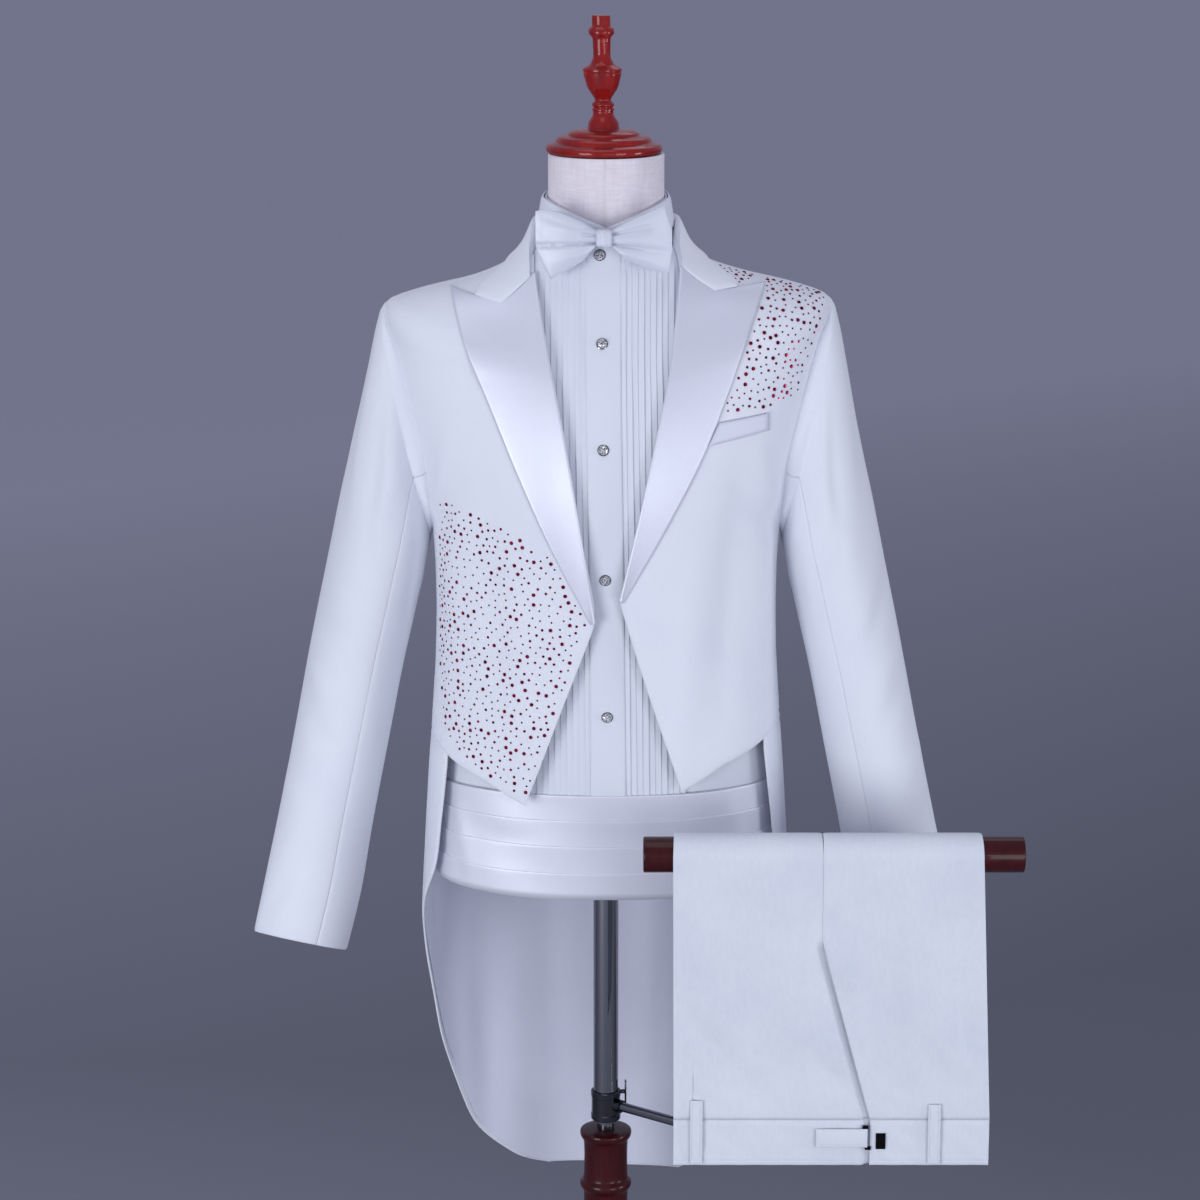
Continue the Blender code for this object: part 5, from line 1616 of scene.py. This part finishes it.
def bar():
    """The wooden bar, with eased ends."""
    bpy.ops.mesh.primitive_cylinder_add(
        vertices=64, radius=BAR_RADIUS, depth=BAR_ENDS[1] - BAR_ENDS[0],
        location=(sum(BAR_ENDS) / 2, BAR_Y, BAR_Z), rotation=(0, math.radians(90), 0),
    )
    piece = bpy.context.object
    piece.name = "bar_wood"
    bpy.ops.object.transform_apply()
    applied(piece, "BEVEL", width=1.6 * MM, segments=3, limit_method="ANGLE")
    piece.data.materials.append(DARK_WOOD)
    smoothed(40)
    riding(piece, "dark_wood", "trouser_bar")


bar()


FORM_FOOT = 0.862
# The form's neck: height, how far its front dips, radius in mm.
NECK = (
    (1.470, 0.016, 56.4), (1.480, 0.012, 56.4), (1.492, 0.006, 56.4), (1.505, 0, 56.4), (1.53, 0, 56.4),
    (1.5748, 0, 56.4), (1.5766, 0, 55.6),
)


def form():
    """The neck and the body of the form, smooth under its stretched cover."""
    height = np.concatenate(([FORM_FOOT], np.linspace(0.88, 1.4595, 60)))[:, None]
    angle = np.linspace(0, 360, 97)[:-1]
    points = layer(angle, height, shirt_ease(height) - 8 * MM)
    points[0, :, 2] = FORM_FOOT
    a = np.radians(angle)
    neck = [stacked(r * MM * np.sin(a), -r * MM * np.cos(a), z - dip * np.cos(a)) for z, dip, r in NECK]
    points = np.concatenate((points, neck))
    piece = woven("form_cover_linen", points, capped_tube(*points.shape[:2]), LINEN, 50)
    riding(piece, "form_cover", "dress_form")


form()

# ---------------------------------------------------------------- studs and stones

# The studs' heights and x.
STUDS = ((1486, -5.9), (1404, -4), (1306, -2.8), (1179, -1), (1038, 1))


def cut_stone(sides, radius, height, table):
    """One faceted stone with its flat top up, as points and faces: a girdle, a crown and a table."""
    points, faces = [], []
    for ring, (share, level) in enumerate(((0.96, 0), (1.0, 0.25), (0.82, 0.72), (table, 1.0))):
        for i in range(sides):
            a = 2 * math.pi * (i + 0.5 * (ring % 2)) / sides
            points.append((radius * share * math.cos(a), radius * share * math.sin(a), height * level))
        if ring:
            for i in range(sides):
                j = (i + 1) % sides
                lower, upper = (ring - 1) * sides, ring * sides
                if ring % 2:
                    faces += [(lower + i, lower + j, upper + i), (lower + j, upper + j, upper + i)]
                else:
                    faces += [(lower + i, lower + j, upper + j), (lower + i, upper + j, upper + i)]
    faces.append(tuple(3 * sides + i for i in range(sides)))
    faces.append(tuple(range(sides - 1, -1, -1)))
    return np.array(points), faces


def set_on(points, facing, shapes, name, finish, slot, nodes=()):
    """Copies of stones, each set on its point and turned the way it faces, as one piece."""
    places, faces, count = [], [], 0
    for point, normal, (shape, shape_faces, spin) in zip(points, facing, shapes):
        side = np.cross(normal, (0.0, 0.0, 1.0))
        side /= np.linalg.norm(side)
        up = np.cross(side, normal)
        c, s = math.cos(spin), math.sin(spin)
        local = shape[:, :1] * (side * c + up * s) + shape[:, 1:2] * (up * c - side * s)
        places.append(local + shape[:, 2:] * normal + point)
        faces += [tuple(count + i for i in face) for face in shape_faces]
        count += len(shape)
    piece = mesh_of(name, np.concatenate(places), faces, finish)
    bpy.ops.object.mode_set(mode="EDIT")
    bpy.ops.mesh.select_all(action="SELECT")
    bpy.ops.mesh.normals_make_consistent(inside=False)
    bpy.ops.object.mode_set(mode="OBJECT")
    return riding(piece, slot, *nodes)


def studs():
    """Five studs, each a faceted stone in a metal cup. The highest is on the collar stand."""
    z, x = np.array(STUDS).T * MM
    angle, height = find(x, z)
    normal = outward(angle, height)
    face = on_front(x, z, shirt_ease(height) + 2.6 * MM)
    normal[0] = np.array((x[0], -59 * MM, 0)) / np.hypot(x[0], 59 * MM)
    face[0] = normal[0] * 61.7 * MM + (0, 0, z[0])
    cup, cup_faces = cut_stone(20, 5.7 * MM, 1.4 * MM, 0.9)
    gem, gem_faces = cut_stone(8, 4.9 * MM, 3.4 * MM, 0.5)
    set_on(face, normal, [(cup, cup_faces, 0)] * 5, "stud_cups", CHROME, "crystal")
    set_on(
        face + normal * 0.9 * MM, normal, [(gem, gem_faces, 0.3 * k) for k in range(5)], "stud_stones",
        CRYSTAL, "crystal", [f"stud_{k}" for k in range(1, 6)],
    )


studs()

# The sizes of the small stones: radius in mm and how many in ten.
STONE_SIZES = ((1.0, 5), (1.4, 3), (1.95, 2))


def inside_outline(x, z, outline):
    inside = False
    for (x0, z0), (x1, z1) in zip(outline, outline[1:] + outline[:1]):
        if (z0 > z) != (z1 > z) and x < x0 + (z - z0) * (x1 - x0) / (z1 - z0):
            inside = not inside
    return inside


def stones(side, outline, spacing, seed):
    """Small dark red stones scattered over a part of a front, never on a seam or an edge."""
    dice = random.Random(seed)
    zs = [z for _, z in outline]
    tries = [(dice.uniform(2, 89), dice.uniform(min(zs), max(zs) + 40) * MM) for _ in range(14000)]
    angle, height = (np.array(column) for column in zip(*tries))
    places = on_coat(angle, height) / MM
    kept = []
    for i, place in enumerate(places):
        if not inside_outline(place[0], place[2], outline):
            continue
        if not kept or np.linalg.norm(places[kept] - place, axis=1).min() > spacing:
            kept.append(i)
    angle, height = angle[kept], height[kept]
    point = front_cloth(angle, height, side)
    normal = outward(angle, height)
    if side == LEFT:
        point, normal = point * (-1, 1, 1), normal * (-1, 1, 1)
    shapes = []
    sizes = [size for size, share in STONE_SIZES for _ in range(share)]
    for _ in kept:
        radius = dice.choice(sizes) * MM
        shape, faces = cut_stone(7, radius, radius * 0.62, 0.5)
        shapes.append((shape, faces, dice.uniform(0, 1)))
    set_on(settled(point), normal, shapes, f"stones_{word(side)}", RED_STONE, "crystal")


# The outlines of the two fields of stones, x and z, on the right front and on the left.
SHOULDER_STONES = [
    (102, 1341), (150, 1342), (184, 1350), (192, 1378), (204, 1412), (213, 1440), (198, 1450),
    (172, 1460), (147, 1471), (122, 1483), (97, 1494), (97, 1479), (110, 1467), (127, 1453), (134, 1455),
    (157, 1461), (151, 1440), (141, 1412), (127, 1376), (114, 1350),
]
WAIST_STONES = [
    (162, 1246), (131, 1241), (82, 1219), (55, 1202), (36, 1170), (20, 1138), (34, 1095), (50, 1046),
    (66, 1000), (80, 956), (100, 966), (122, 978), (146, 996), (160, 1012), (164, 1080), (163, 1150),
]
stones(RIGHT, SHOULDER_STONES, 6.0, 11)
stones(LEFT, WAIST_STONES, 6.4, 23)


def bar_tack():
    """The short row of stitches across the welt's outer end."""
    z = np.linspace(1319.5, 1337.5, 12) * MM
    x = np.full(12, 157.4 * MM)
    angle, height = find(x, z)
    stitch, faces = cut_stone(6, 0.55 * MM, 0.7 * MM, 0.6)
    stitch = stitch * (2.2, 1, 1)
    shapes = [(stitch, faces, 0)] * 12
    set_on(on_front(x, z, 0.4 * MM), outward(angle, height), shapes, "bar_tack", SHIRTING, "shirting")


def hook_bits():
    """The black ends of the waist hook that show past the tab."""
    for k, (x, z) in enumerate(((252.3, 654.9), (254.8, 633.2))):
        place = (x, FACE / MM - 1.2, z)
        riding(block(f"hook_bit_{k + 1}", (6, 1.4, 4), place, 0.5, 2, BLACK), "black_metal")


bar_tack()
hook_bits()

# ---------------------------------------------------------------- what is left of the part's own nodes

waist_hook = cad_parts["waist_hook"]
waist_hook.data.materials.clear()
waist_hook.data.materials.append(BLACK)
